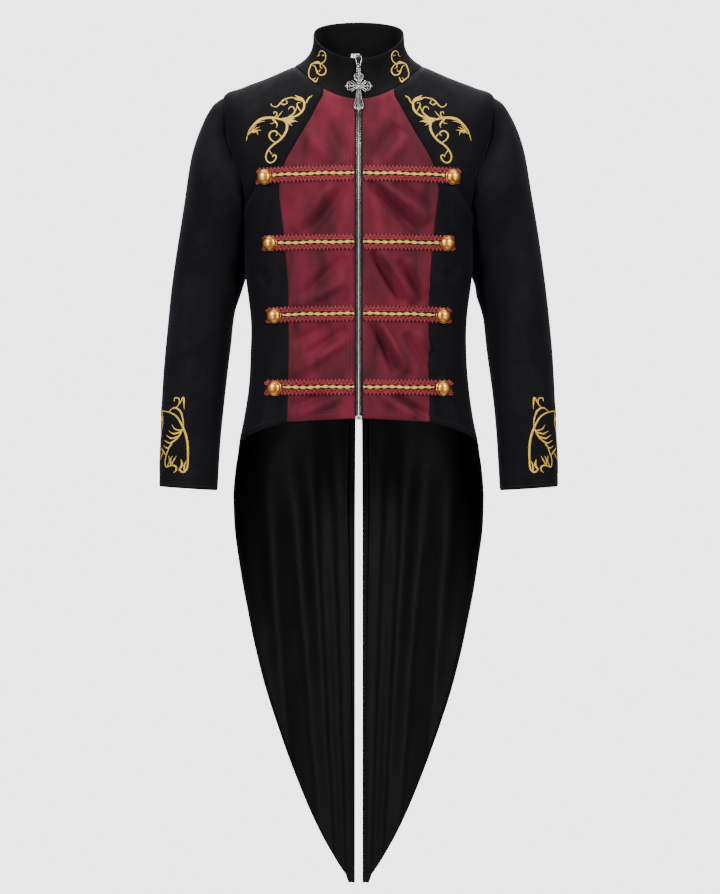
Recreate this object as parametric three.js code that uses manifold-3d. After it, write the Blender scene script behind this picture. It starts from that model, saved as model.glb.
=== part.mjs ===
// A tailcoat jacket that keeps its worn shape: stand collar, burgundy front with braids and buttons,
// set-in sleeves, a long zip and two tapering tails. Millimetres, +Z up. The coat faces -Y, +X is on the
// viewer's right, and the origin lies between the side points of the neck.
import * as THREE from "three";
import Module from "manifold-3d";
import { mergeVertices } from "three/addons/utils/BufferGeometryUtils.js";

// Walls, gaps and the zip's opening
const CLOTH = 2.2;
const SEAM = 0.15;
const LAYER_GAP = 0.3;
const LINING = 1.0;
const LINING_GAP = 0.85;
const LINING_MARGIN = 5;
const ZIP_HALF_GAP = 5.8;
const BOXINESS = 0.85;

// How finely each piece is divided
const ARMHOLE_STEPS = 8;
const SIDE_STEPS = 8;
const TAIL_STEPS = 11;
const SHOULDER_STEPS = 4;
const PLASTRON_COLUMNS = 8;
const FRONT_NECK_STEPS = 2;
const BACK_NECK_STEPS = 6;
const NECK_BEND_ROWS = 4;
const COLLAR_ROWS = 4;

// Level lines around the coat, from the neck seam down to the tips of the tails. Each has its height at
// centre front, side and centre back, its half width, and how far it reaches forward and back.
const LEVELS = [
  { zFront: -58, zSide: 0, zBack: 4, halfWidth: 98, yFront: -95, ySide: -8, yBack: 62 },
  { zFront: -92, zSide: -18, zBack: -22, halfWidth: 140, yFront: -106, ySide: -4, yBack: 84 },
  { zFront: -125, zSide: -32, zBack: -55, halfWidth: 178, yFront: -114, ySide: 0, yBack: 98 },
  { zFront: -158, zSide: -48, zBack: -95, halfWidth: 209.5, yFront: -118, ySide: 2, yBack: 106 },
  { zFront: -190, zSide: -105, zBack: -150, halfWidth: 209, yFront: -121, ySide: 2, yBack: 112 },
  { zFront: -222, zSide: -175, zBack: -200, halfWidth: 194, yFront: -122, ySide: 2, yBack: 113 },
  { zFront: -252, zSide: -250, zBack: -251, halfWidth: 178, yFront: -122, ySide: 2, yBack: 111 },
  { zFront: -320, zSide: -320, zBack: -320, halfWidth: 174, yFront: -121, ySide: 2, yBack: 104 },
  { zFront: -390, zSide: -390, zBack: -390, halfWidth: 166, yFront: -119, ySide: 2, yBack: 97 },
  { zFront: -440, zSide: -440, zBack: -440, halfWidth: 166, yFront: -119, ySide: 2, yBack: 98 },
  { zFront: -490, zSide: -490, zBack: -490, halfWidth: 169, yFront: -120, ySide: 2, yBack: 104 },
  { zFront: -540, zSide: -540, zBack: -540, halfWidth: 176, yFront: -121, ySide: 3, yBack: 112 },
  { zFront: -590, zSide: -590, zBack: -590, halfWidth: 186, yFront: -121, ySide: 6, yBack: 120 },
  { zFront: -650, zSide: -650, zBack: -650, halfWidth: 193, yFront: -118, ySide: 14, yBack: 127 },
  { zFront: -720, zSide: -720, zBack: -720, halfWidth: 195, yFront: -110, ySide: 26, yBack: 131 },
  { zFront: -830, zSide: -830, zBack: -830, halfWidth: 194, yFront: -100, ySide: 46, yBack: 133 },
  { zFront: -960, zSide: -960, zBack: -960, halfWidth: 190, yFront: -90, ySide: 68, yBack: 134 },
  { zFront: -1110, zSide: -1110, zBack: -1110, halfWidth: 182, yFront: -80, ySide: 90, yBack: 133 },
  { zFront: -1275, zSide: -1275, zBack: -1275, halfWidth: 172, yFront: -70, ySide: 108, yBack: 131 },
];
const CENTRE_HEM_Z = -541;
const SIDE_HEM_Z = -580;
const TAIL_TIP_Z = -1270;
const SHOULDER_LEVEL = 3;
const OUTERMOST = 1000;
const UNDERARM_LEVEL = 6;

// Seam lines as seen from the front or the back: distance from the centre line and height
const PLASTRON_EDGE = [
  { x: 52.7, z: -50 },
  { x: 84, z: -107 },
  { x: 113.5, z: -160 },
  { x: 120, z: -190 },
  { x: 113.5, z: -262 },
  { x: 107, z: -340 },
  { x: 106, z: -434 },
  { x: 108, z: -546 },
];
const FRONT_ARMHOLE = [
  { x: 209.5, z: -48 },
  { x: 206.5, z: -60 },
  { x: 204.5, z: -82 },
  { x: 201.5, z: -110 },
  { x: 192, z: -140 },
  { x: 179, z: -170 },
  { x: 174, z: -208 },
  { x: 178, z: -250 },
];
const BACK_ARMHOLE = [
  { x: 209.5, z: -48 },
  { x: 205.5, z: -57 },
  { x: 201, z: -78 },
  { x: 195, z: -110 },
  { x: 187, z: -148 },
  { x: 178, z: -185 },
  { x: 173.5, z: -218 },
  { x: 178, z: -250 },
];
const TAIL_EDGE = [
  { x: 184.5, z: -580 },
  { x: 192.5, z: -640 },
  { x: 193.5, z: -700 },
  { x: 187, z: -760 },
  { x: 177, z: -825 },
  { x: 150, z: -950 },
  { x: 108.5, z: -1076 },
  { x: 70, z: -1171 },
  { x: 36, z: -1234 },
  { x: 16, z: -1263 },
];

// The slit between the tails, seen from behind: half its width at each height
const VENT = [
  { x: 0, z: 4 },
  { x: 0, z: -455 },
  { x: 2, z: -480 },
  { x: 4.8, z: -545 },
  { x: 5.6, z: -700 },
  { x: 6, z: -1275 },
];

// Height of the centre back at the rows that end the armhole, the side seam and the tail
const CENTRE_BACK_ROWS = [
  { row: 0, z: 4 },
  { row: ARMHOLE_STEPS, z: -262 },
  { row: ARMHOLE_STEPS + SIDE_STEPS, z: -590 },
  { row: ARMHOLE_STEPS + SIDE_STEPS + TAIL_STEPS, z: TAIL_TIP_Z },
];

// Soft folds of the tails, placed by their distance from the centre line at the hip and at the tip
const TAIL_FOLDS = [
  { xTop: 42, xTip: 20, width: 15, depth: -5 },
  { xTop: 74, xTip: 36, width: 17, depth: 6 },
  { xTop: 112, xTip: 60, width: 19, depth: -6 },
  { xTop: 152, xTip: 90, width: 18, depth: 5 },
];
const FOLD_START_Z = -500;
const FOLD_FULL_Z = -760;

// Collar rim: half width, reach and height at centre front, side and centre back
const RIM = { halfWidth: 70, yFront: -76, ySide: -4, yBack: 60, zFront: 5, zSide: 52, zBack: 76 };
const COLLAR_ROLL = 3;

// Sleeve rings below the armhole: outer and inner point in the front view, and the front and back reach
const SLEEVE_RINGS = [
  { xOut: 224, zOut: -60, xIn: 178.8, zIn: -254, yFront: -72, yBack: 68, yIn: 4, armhole: 0.75 },
  { xOut: 241, zOut: -90, xIn: 178, zIn: -261, yFront: -80, yBack: 82, yIn: 14, armhole: 0.4 },
  { xOut: 256, zOut: -135, xIn: 176.2, zIn: -274, yFront: -80, yBack: 90, yIn: 26, armhole: 0.12 },
  { xOut: 268, zOut: -204, xIn: 172.6, zIn: -297, yFront: -72, yBack: 90, yIn: 34, armhole: 0 },
  { xOut: 278.5, zOut: -272, xIn: 172.6, zIn: -318, yFront: -68, yBack: 84, yIn: 32, armhole: 0 },
  { xOut: 288.5, zOut: -345, xIn: 189, zIn: -370, yFront: -64, yBack: 76, yIn: 20, armhole: 0 },
  { xOut: 296.5, zOut: -430, xIn: 197.5, zIn: -438, yFront: -64, yBack: 64, yIn: 6, armhole: 0 },
  { xOut: 301, zOut: -500, xIn: 205, zIn: -502, yFront: -66, yBack: 52, yIn: -6, armhole: 0 },
  { xOut: 304, zOut: -572, xIn: 211.5, zIn: -575, yFront: -66, yBack: 42, yIn: -12, armhole: 0 },
  { xOut: 305.5, zOut: -644, xIn: 216, zIn: -650, yFront: -66, yBack: 34, yIn: -16, armhole: 0 },
];
const SHOULDER_RING = { xOut: 209.5, zOut: -48, xIn: 178, zIn: -250, yFront: -58, yBack: 54, yIn: 2 };
const SLEEVE_SEAM_GAP = 0.5;

// Braid rows: height of the braid, place of its button, and the slope of the braid towards the zip
const BRAID_ROWS = [
  { z: -174, buttonX: 140.5, buttonZ: -176, rise: 1.5 },
  { z: -276, buttonX: 132, buttonZ: -275.7, rise: 0 },
  { z: -384, buttonX: 125.5, buttonZ: -385.5, rise: 0.8 },
  { z: -494, buttonX: 125.5, buttonZ: -495.5, rise: 0.5 },
];
const BRAID_HALF_WIDTH = 12.5;
const BRAID_LOOP_DIP = 1.8;
const BRAID_LOOPS = 22;
const BRAID_BASE = 0.5;
const BRAID_CREST = 2.9;
const BRAID_GROOVE = 1.7;
const BRAID_RIM = 1.2;
const CORD_BASE = 2.3;
const BRAID_START_X = 7;
const BRAID_PAST_BUTTON = 12.5;
const CORD_STEPS = 12;
const CORD_HALF_WIDTH = 1.8;
const CORD_HEIGHT = 2.8;

const BUTTON_RADIUS = 11.5;
const BUTTON_HEIGHT = 6.2;
const BUTTON_SIDES = 14;

const TAPE_THICKNESS = 1.0;
const TAPE_OUTER = 14;
const TAPE_INNER = 0.25;
const CHAIN_HALF_WIDTH = 3.35;
const CHAIN_TOP = 0.6;
const CHAIN_BOTTOM = -2.2;
const CHAIN_END_Z = -536.4;
const STOP = { width: 11, height: 6, depth: 3.4, z: -539.8 };

// Slider at the collar's rim: a plate over the chain with an arch that the pull's link hangs from
const PLATE = { halfWidth: 4.5, top: 4.5, shoulder: -3, tipHalfWidth: 3, bottom: -7, back: 0.9, depth: 1.2 };
const ARCH = { width: 3, low: -1.4, high: 4.2, foot: 1.9, top: 5.9, bar: 1.0, roof: 1.2 };

// Pull: a tapered link and a gothic cross, both leaning on the coat at rest
const LINK = { up: 1.4, out: 3.4, lean: 4.4, topWidth: 10.5, lowWidth: 6.2, reach: 14.3, wire: 1.3 };
const CROSS = { lean: 20, thickness: 2.4, top: -9.2, armHeight: -33.3, bottom: -74.5, halfSpan: 21 };
const JUMP_RING = { radius: 2, wire: 0.6, drop: -0.4 };
const EYE = { radius: 2.7, wire: 0.8, drop: -5.9 };
const ARM_HALF_WIDTH = 2.2;
const BAR_INSET = 4;
const TIP_REACH = 4.5;
const TIP_BREADTH = 0.7;
const LOBE = { radius: 2.9, back: 2, aside: 3.4 };
const BOSS_RADIUS = 6.5;
const RAY = { reach: 13.5, halfWidth: 1.8 };
const FLARE = { halfWidth: 5, drop: 18, rise: 9 };

const LABEL = { x: -5.6, width: 14, low: 0.2, high: 0.36, thickness: 1, gap: 0.9, girth: 80 };

// Materials
const paint = (color, roughness, metalness = 0) =>
  new THREE.MeshStandardMaterial({ color, roughness, metalness });
const BLACK_VELVET = paint(0x15131a, 0.9);
const BURGUNDY_VELVET = paint(0x6e232d, 0.75);
const BLACK_SATIN = paint(0x0a0a0b, 0.45);
const RED_BRAID = paint(0x962834, 0.6);
const GOLD_CORD = paint(0xdcc382, 0.5, 0.4);
const BRASS = paint(0xcf9245, 0.3, 1);
const SILVER = paint(0xa9a8a4, 0.35, 1);
const BLACK_TAPE = paint(0x101012, 0.85);
const WHITE_TAPE = paint(0xe6e6e2, 0.8);

const coat = new THREE.Group();

// Numbers between the rows of a table
const clamp = (value, low, high) => Math.min(high, Math.max(low, value));
const mix = (a, b, t) => a + (b - a) * t;

function smoothstep(low, high, value) {
  const t = clamp((value - low) / (high - low), 0, 1);
  return t * t * (3 - 2 * t);
}

function cubic(a, b, c, d, t) {
  return b + 0.5 * t * (c - a + t * (2 * a - 5 * b + 4 * c - d + t * (3 * (b - c) + d - a)));
}

// One row of a table at a fractional index, every column smoothed along the table
function rowAt(table, index) {
  const place = clamp(index, 0, table.length - 1);
  const low = Math.min(Math.floor(place), table.length - 2);
  const pick = (offset) => table[clamp(low + offset, 0, table.length - 1)];
  const row = {};
  for (const key of Object.keys(table[0]))
    row[key] = cubic(pick(-1)[key], pick(0)[key], pick(1)[key], pick(2)[key], place - low);
  return row;
}

// A line through the (x, z) rows of a table, in equal lengths
function lineThrough(table, steps) {
  const curve = new THREE.CatmullRomCurve3(table.map((row) => new THREE.Vector3(row.x, 0, row.z)));
  return curve.getSpacedPoints(steps).map((point) => ({ x: point.x, z: point.z }));
}

function widthAtHeight(table, z) {
  const next = Math.max(1, table.findIndex((row) => row.z <= z));
  const [above, below] = [table[next - 1], table[next]];
  return mix(above.x, below.x, clamp((z - above.z) / (below.z - above.z), 0, 1));
}

function heightAtRow(table, row) {
  const next = Math.max(1, table.findIndex((entry) => entry.row >= row));
  const [above, below] = [table[next - 1], table[next]];
  return mix(above.z, below.z, (row - above.row) / (below.row - above.row));
}

// The coat's surface: angle 0 at centre front, a quarter turn at the side and a half turn at centre back
function bodyPoint(angle, level) {
  const row = rowAt(LEVELS, level);
  const turn = Math.cos(angle);
  const reach = turn > 0 ? row.yFront : row.yBack;
  const height = turn > 0 ? row.zFront : row.zBack;
  return new THREE.Vector3(
    row.halfWidth * Math.sin(angle),
    mix(row.ySide, reach, Math.abs(turn) ** BOXINESS),
    mix(row.zSide, height, turn * turn),
  );
}

const DELTA = 0.02;

function surfaceNormal(surface, angle, level) {
  const around = surface(angle + DELTA, level).sub(surface(angle - DELTA, level));
  const down = surface(angle, level + DELTA).sub(surface(angle, level - DELTA));
  return down.cross(around).normalize();
}

const bodyNormal = (angle, level) => surfaceNormal(bodyPoint, angle, level);

function tailFold(point) {
  if (point.z > FOLD_START_Z || point.y < 0) return 0;
  const strength = smoothstep(-FOLD_START_Z, -FOLD_FULL_Z, -point.z);
  const down = (point.z - SIDE_HEM_Z) / (TAIL_TIP_Z - SIDE_HEM_Z);
  let lift = 0;
  for (const fold of TAIL_FOLDS) {
    const away = (point.x - mix(fold.xTop, fold.xTip, down)) / mix(fold.width, fold.width / 2, down);
    lift += fold.depth * Math.exp(-away * away);
  }
  return lift * strength * mix(1, 0.5, clamp(down, 0, 1));
}

// A point of the coat moved out from the cloth's outer face
function clothPoint({ angle, level }, out) {
  const point = bodyPoint(angle, level);
  return point.addScaledVector(bodyNormal(angle, level), out + tailFold(point));
}

// The angle and level of a point given by its distance from the centre line and its height
function locate(x, z, behind = false) {
  const angleAt = (level) => {
    const angle = Math.asin(clamp(x / rowAt(LEVELS, level).halfWidth, 0, 1));
    return behind ? Math.PI - angle : angle;
  };
  let [low, high] = [0, LEVELS.length - 1];
  for (let round = 0; round < 40; round += 1) {
    const middle = (low + high) / 2;
    const tooWide = x > rowAt(LEVELS, middle).halfWidth && middle < SHOULDER_LEVEL;
    if (tooWide || bodyPoint(angleAt(middle), middle).z > z) low = middle;
    else high = middle;
  }
  return { angle: angleAt(low), level: low };
}

const locateAll = (line, behind) => line.map(({ x, z }) => locate(x, z, behind));

// Grids of points

// Fills the area under a top edge, between a left and a right edge that run down; the top edge's own
// shape fades out over the first rows
function patch(top, left, right, fadeRows = 1) {
  const columns = top.length - 1;
  const blend = (key, row, column) => {
    const s = column / columns;
    const bend = top[column][key] - mix(top[0][key], top[columns][key], s);
    return mix(left[row][key], right[row][key], s) + bend * (1 - smoothstep(0, fadeRows, row));
  };
  return left.map((_, row) =>
    top.map((_, column) => ({
      angle: blend("angle", row, column),
      level: blend("level", row, column),
    })),
  );
}

function straight(from, to, steps) {
  return Array.from({ length: steps + 1 }, (_, step) => ({
    angle: mix(from.angle, to.angle, step / steps),
    level: mix(from.level, to.level, step / steps),
  }));
}

const join = (first, second) => [...first, ...second.slice(1)];

// Moves the points of a grid's edge inwards, square to the edge
function insetEdge(line, inner, gap) {
  const moved = line.map((point, index) => {
    const along = line[Math.min(index + 1, line.length - 1)].clone().sub(line[Math.max(index - 1, 0)]);
    const inward = inner[index].clone().sub(point);
    inward.addScaledVector(along, -inward.dot(along) / along.lengthSq());
    return inward.normalize().multiplyScalar(gap);
  });
  line.forEach((point, index) => point.add(moved[index]));
}

function insetGrid(grid, gap) {
  const last = grid.length - 1;
  const end = grid[0].length - 1;
  insetEdge(grid[0], grid[1], gap);
  insetEdge(grid[last], grid[last - 1], gap);
  const column = (index) => grid.map((row) => row[index]);
  insetEdge(column(0), column(1), gap);
  insetEdge(column(end), column(end - 1), gap);
  return grid;
}

// Closed bodies

function signedVolume(positions, faces) {
  const corner = (index) => new THREE.Vector3().fromArray(positions, index * 3);
  let volume = 0;
  for (const [a, b, c] of faces) volume += corner(a).dot(corner(b).cross(corner(c)));
  return volume;
}

function solidFrom(points, faces) {
  const positions = points.flatMap((point) => point.toArray());
  const outward = signedVolume(positions, faces) > 0;
  const index = faces.flatMap(([a, b, c]) => (outward ? [a, b, c] : [a, c, b]));
  const geometry = new THREE.BufferGeometry();
  geometry.setAttribute("position", new THREE.Float32BufferAttribute(positions, 3));
  geometry.setIndex(index);
  geometry.computeVertexNormals();
  return geometry;
}

// A wall between an outer and an inner grid of the same size; a ring's last column meets its first.
// Each cell is split along the diagonal that lies further out, so that no cell dents the surface.
function wall(outer, inner, ring = false) {
  const rows = outer.length;
  const columns = outer[0].length;
  const points = [...outer.flat(), ...inner.flat()];
  const at = (layer, row, column) => layer * rows * columns + row * columns + (column % columns);
  const faces = [];
  const quad = (a, b, c, d) => faces.push([a, b, c], [a, c, d]);
  const bulgesAcross = ([a, b, c, d], depth) => {
    const rise = b.clone().add(d).sub(a).sub(c);
    return rise.dot(a.clone().sub(depth)) > 0;
  };
  const spans = ring ? columns : columns - 1;
  for (let row = 0; row < rows - 1; row += 1)
    for (let column = 0; column < spans; column += 1) {
      const cell = (layer) => [
        at(layer, row, column),
        at(layer, row, column + 1),
        at(layer, row + 1, column + 1),
        at(layer, row + 1, column),
      ];
      const [front, back] = [cell(0), cell(1)];
      const across = bulgesAcross(front.map((index) => points[index]), points[back[0]]);
      const turned = ([a, b, c, d]) => (across ? [b, c, d, a] : [a, b, c, d]);
      const [a, b, c, d] = turned(back);
      quad(...turned(front));
      quad(a, d, c, b);
    }
  for (let column = 0; column < spans; column += 1) {
    const [next, last] = [column + 1, rows - 1];
    quad(at(0, 0, next), at(0, 0, column), at(1, 0, column), at(1, 0, next));
    quad(at(0, last, column), at(0, last, next), at(1, last, next), at(1, last, column));
  }
  for (let row = 0; row < rows - 1 && !ring; row += 1) {
    const end = columns - 1;
    quad(at(0, row, 0), at(0, row + 1, 0), at(1, row + 1, 0), at(1, row, 0));
    quad(at(0, row + 1, end), at(0, row, end), at(1, row, end), at(1, row + 1, end));
  }
  return solidFrom(points, faces);
}

// A bar through closed sections that all have the same number of points
function loft(sections) {
  const count = sections[0].length;
  const faces = [];
  for (let step = 0; step < sections.length - 1; step += 1)
    for (let corner = 0; corner < count; corner += 1) {
      const next = (corner + 1) % count;
      const [a, b] = [step * count + corner, step * count + next];
      faces.push([a, b, b + count], [a, b + count, a + count]);
    }
  const end = (sections.length - 1) * count;
  for (let corner = 1; corner < count - 1; corner += 1) {
    faces.push([0, corner + 1, corner]);
    faces.push([end, end + corner, end + corner + 1]);
  }
  return solidFrom(sections.flat(), faces);
}

const mirrored = (grid) => grid.map((row) => row.map(({ x, y, z }) => new THREE.Vector3(-x, y, z)));

function add(name, geometry, material) {
  const mesh = new THREE.Mesh(geometry, material);
  mesh.name = name;
  coat.add(mesh);
  return mesh;
}

// Adds one piece on each side from the grids of the +X side, which is the wearer's left
function addPair(name, build, material) {
  const grids = build();
  add(`${name}_left`, wall(...grids), material);
  add(`${name}_right`, wall(...grids.map(mirrored)), material);
}

function clothGrids(cells, outside, inside, margin) {
  const layer = (out) => cells.map((row) => row.map((cell) => clothPoint(cell, out)));
  return [insetGrid(layer(outside), margin), insetGrid(layer(inside), margin)];
}

// Seam lines shared by neighbouring panels
const NECK_SIDE = { angle: Math.PI / 2, level: 0 };
const SHOULDER_TIP = { angle: Math.PI / 2, level: SHOULDER_LEVEL };
const UNDERARM = { angle: Math.PI / 2, level: UNDERARM_LEVEL };
const SIDE_HEM = locate(OUTERMOST, SIDE_HEM_Z);
const FRONT_ROWS = ARMHOLE_STEPS + SIDE_STEPS;
const COLLAR_HEIGHTS = Array.from({ length: COLLAR_ROWS + 1 }, (_, row) => (row / COLLAR_ROWS) ** 1.4);

const neckAngle = (x) => Math.asin(x / LEVELS[0].halfWidth);
const plastronEdge = locateAll(lineThrough(PLASTRON_EDGE, FRONT_ROWS));
plastronEdge[0] = { angle: neckAngle(PLASTRON_EDGE[0].x), level: 0 };
const centreEdge = plastronEdge.map((_, row) =>
  row === 0
    ? { angle: neckAngle(ZIP_HALF_GAP), level: 0 }
    : locate(ZIP_HALF_GAP, mix(LEVELS[0].zFront, CENTRE_HEM_Z, row / FRONT_ROWS)),
);
const pinned = (line, first, last) => [first, ...line.slice(1, -1), last];
const frontArmhole = pinned(
  locateAll(lineThrough(FRONT_ARMHOLE, ARMHOLE_STEPS)),
  SHOULDER_TIP,
  UNDERARM,
);
const backArmhole = pinned(
  locateAll(lineThrough(BACK_ARMHOLE, ARMHOLE_STEPS), true),
  SHOULDER_TIP,
  UNDERARM,
);
const sideSeam = straight(UNDERARM, SIDE_HEM, SIDE_STEPS);
const shoulderSeam = straight(NECK_SIDE, SHOULDER_TIP, SHOULDER_STEPS);
const plastronTop = straight(centreEdge[0], plastronEdge[0], PLASTRON_COLUMNS);
const frontTop = join(straight(plastronEdge[0], NECK_SIDE, FRONT_NECK_STEPS), shoulderSeam);
const backNeck = straight({ angle: Math.PI, level: 0 }, NECK_SIDE, BACK_NECK_STEPS);

// Burgundy front panels beside the zip
addPair(
  "plastron",
  () => {
    return clothGrids(patch(plastronTop, centreEdge, plastronEdge), 0, -CLOTH, SEAM);
  },
  BURGUNDY_VELVET,
);

// Black side fronts with the shoulder
addPair(
  "front",
  () => {
    const armSide = join(frontArmhole, sideSeam);
    return clothGrids(patch(frontTop, plastronEdge, armSide, NECK_BEND_ROWS), 0, -CLOTH, SEAM);
  },
  BLACK_VELVET,
);

// Backs cut in one with the tails
const tailEdge = pinned(
  locateAll(lineThrough(TAIL_EDGE, TAIL_STEPS), true),
  SIDE_HEM,
  locate(TAIL_EDGE.at(-1).x, TAIL_TIP_Z, true),
);
const backEdge = join(join(backArmhole, sideSeam), tailEdge);
const centreBack = backEdge.map((_, row) => {
  const z = heightAtRow(CENTRE_BACK_ROWS, row);
  return row === 0 ? { angle: Math.PI, level: 0 } : locate(widthAtHeight(VENT, z), z, true);
});
const backTop = join(backNeck, shoulderSeam);
const backCells = patch(backTop, centreBack, backEdge, NECK_BEND_ROWS);
addPair("back", () => clothGrids(backCells, 0, -CLOTH, SEAM), BLACK_VELVET);

// Satin lining inside the tails
const LINING_FIRST_ROW = FRONT_ROWS - 3;
addPair(
  "tail_lining",
  () => {
    const outside = -CLOTH - LINING_GAP;
    return clothGrids(backCells.slice(LINING_FIRST_ROW, -1), outside, outside - LINING, LINING_MARGIN);
  },
  BLACK_SATIN,
);

// Sleeves hang from the armhole rings
const SLEEVE_SIDES = 2 * ARMHOLE_STEPS;

function ringPoint(ring, step) {
  const turn = (2 * Math.PI * step) / SLEEVE_SIDES;
  const inward = ((1 - Math.cos(turn)) / 2) ** 2;
  const middle = (ring.yFront + ring.yBack) / 2;
  return new THREE.Vector3(
    (ring.xOut + ring.xIn) / 2 + ((ring.xOut - ring.xIn) / 2) * Math.cos(turn),
    middle + ((ring.yFront - ring.yBack) / 2) * Math.sin(turn) + (ring.yIn - middle) * inward,
    (ring.zOut + ring.zIn) / 2 + ((ring.zOut - ring.zIn) / 2) * Math.cos(turn),
  );
}

function gridNormal(grid, row, column) {
  const columns = grid[0].length;
  const below = grid[Math.min(row + 1, grid.length - 1)][column];
  const above = grid[Math.max(row - 1, 0)][column];
  const after = grid[row][(column + 1) % columns];
  const before = grid[row][(column + columns - 1) % columns];
  return after.clone().sub(before).cross(below.clone().sub(above)).normalize();
}

function sleeveGrids() {
  const armhole = [...frontArmhole, ...backArmhole.slice(1, -1).reverse()].map((cell) =>
    clothPoint(cell, 0).add(new THREE.Vector3(SLEEVE_SEAM_GAP, 0, 0)),
  );
  const residue = armhole.map((point, step) => point.clone().sub(ringPoint(SHOULDER_RING, step)));
  const rings = SLEEVE_RINGS.map((ring) =>
    armhole.map((_, step) => ringPoint(ring, step).addScaledVector(residue[step], ring.armhole)),
  );
  const outer = [armhole, ...rings];
  const side = Math.sign(gridNormal(outer, 5, 0).x);
  const inner = outer.map((ring, row) =>
    ring.map((point, column) =>
      point.clone().addScaledVector(gridNormal(outer, row, column), -side * CLOTH),
    ),
  );
  return [outer, inner];
}

const sleeve = sleeveGrids();
add("sleeve_left", wall(...sleeve, true), BLACK_VELVET);
add("sleeve_right", wall(...sleeve.map(mirrored), true), BLACK_VELVET);

// Stand collar from the neck seam up to its rim
function collarPoint(angle, height) {
  const seam = bodyPoint(angle, 0);
  const turn = Math.cos(angle);
  const rim = new THREE.Vector3(
    RIM.halfWidth * Math.sin(angle),
    mix(RIM.ySide, turn > 0 ? RIM.yFront : RIM.yBack, Math.abs(turn) ** BOXINESS),
    mix(RIM.zSide, turn > 0 ? RIM.zFront : RIM.zBack, turn * turn),
  );
  const inward = 1 - (1 - height) ** COLLAR_ROLL;
  return new THREE.Vector3(
    mix(seam.x, rim.x, inward),
    mix(seam.y, rim.y, inward),
    mix(seam.z, rim.z, height),
  );
}

function collarOut(angle, height, out) {
  const normal =
    height <= 0 ? bodyNormal(angle, 0) : surfaceNormal(collarPoint, angle, height).negate();
  return collarPoint(angle, clamp(height, 0, 1)).addScaledVector(normal, out);
}

function collarLayer(out) {
  const neck = [...plastronTop, ...frontTop.slice(1, FRONT_NECK_STEPS), ...backNeck.slice().reverse()];
  const angles = neck.map((cell) => cell.angle);
  return COLLAR_HEIGHTS.map((height) => {
    const half = angles.map((angle) => collarOut(angle, height, out));
    const other = mirrored([half])[0].slice(0, -1);
    return [...other, ...half.slice().reverse()];
  });
}

add("collar", wall(insetGrid(collarLayer(0), SEAM), insetGrid(collarLayer(-CLOTH), SEAM)), BLACK_VELVET);

// Zip: two tapes behind the fronts, one chain between them and a stop at the hem
const zipRows = [
  ...COLLAR_HEIGHTS.slice(1).reverse().map((height) => ({ height })),
  ...centreEdge.map(({ level }) => ({ level })),
];

function closurePoint(x, { height, level }, out) {
  if (height !== undefined) return collarOut(neckAngle(x), height, out);
  return clothPoint({ angle: Math.asin(x / rowAt(LEVELS, level).halfWidth), level }, out);
}

const TAPE_OUT = -CLOTH - LAYER_GAP;
const tapeLayer = (out) =>
  zipRows.map((row) => [TAPE_INNER, ZIP_HALF_GAP, TAPE_OUTER].map((x) => closurePoint(x, row, out)));
addPair("zip_tape", () => [tapeLayer(TAPE_OUT), tapeLayer(TAPE_OUT - TAPE_THICKNESS)], BLACK_TAPE);

const chainRows = [...zipRows.slice(0, -1), { level: locate(0, CHAIN_END_Z).level }];
const chainSections = chainRows.map((row) =>
  [
    [-CHAIN_HALF_WIDTH, CHAIN_BOTTOM],
    [CHAIN_HALF_WIDTH, CHAIN_BOTTOM],
    [CHAIN_HALF_WIDTH, CHAIN_TOP],
    [-CHAIN_HALF_WIDTH, CHAIN_TOP],
  ].map(([x, out]) => closurePoint(x, row, out)),
);
add("zip_chain", loft(chainSections), SILVER);

const stopPlace = clothPoint(locate(0, STOP.z), CHAIN_BOTTOM + STOP.depth / 2);
add("zip_stop", new THREE.BoxGeometry(STOP.width, STOP.depth, STOP.height), SILVER).position.copy(stopPlace);

// Extruded pieces and how they are joined
function polygon(corners) {
  return new THREE.Shape(corners.map(([x, y]) => new THREE.Vector2(x, y)));
}

function disc(x, y, radius) {
  return new THREE.Shape().absarc(x, y, radius, 0, 2 * Math.PI, false);
}

function plate(shape, thickness, back) {
  const settings = { depth: thickness, bevelEnabled: false, curveSegments: 3 };
  return new THREE.ExtrudeGeometry(shape, settings).translate(0, 0, back);
}

const wasm = await Module();
wasm.setup();

function fuse(geometries) {
  const solids = geometries.map((geometry) => {
    const bare = geometry.index ? geometry.toNonIndexed() : geometry.clone();
    bare.deleteAttribute("normal");
    bare.deleteAttribute("uv");
    const merged = mergeVertices(bare);
    return new wasm.Manifold(
      new wasm.Mesh({
        numProp: 3,
        vertProperties: merged.attributes.position.array,
        triVerts: new Uint32Array(merged.index.array),
      }),
    );
  });
  const mesh = solids.reduce((whole, piece) => whole.add(piece)).getMesh();
  const geometry = new THREE.BufferGeometry();
  geometry.setAttribute("position", new THREE.BufferAttribute(mesh.vertProperties, 3));
  geometry.setIndex(new THREE.BufferAttribute(mesh.triVerts, 1));
  geometry.computeVertexNormals();
  return geometry;
}

// Stands a piece drawn in x and height, with its face to the front, leaning by so many degrees
function hang(mesh, pivot, lean) {
  mesh.position.copy(pivot);
  mesh.rotation.x = Math.PI / 2 - THREE.MathUtils.degToRad(lean);
}

// Slider, link and cross
const rimFront = collarOut(0, 1, 0);

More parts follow.
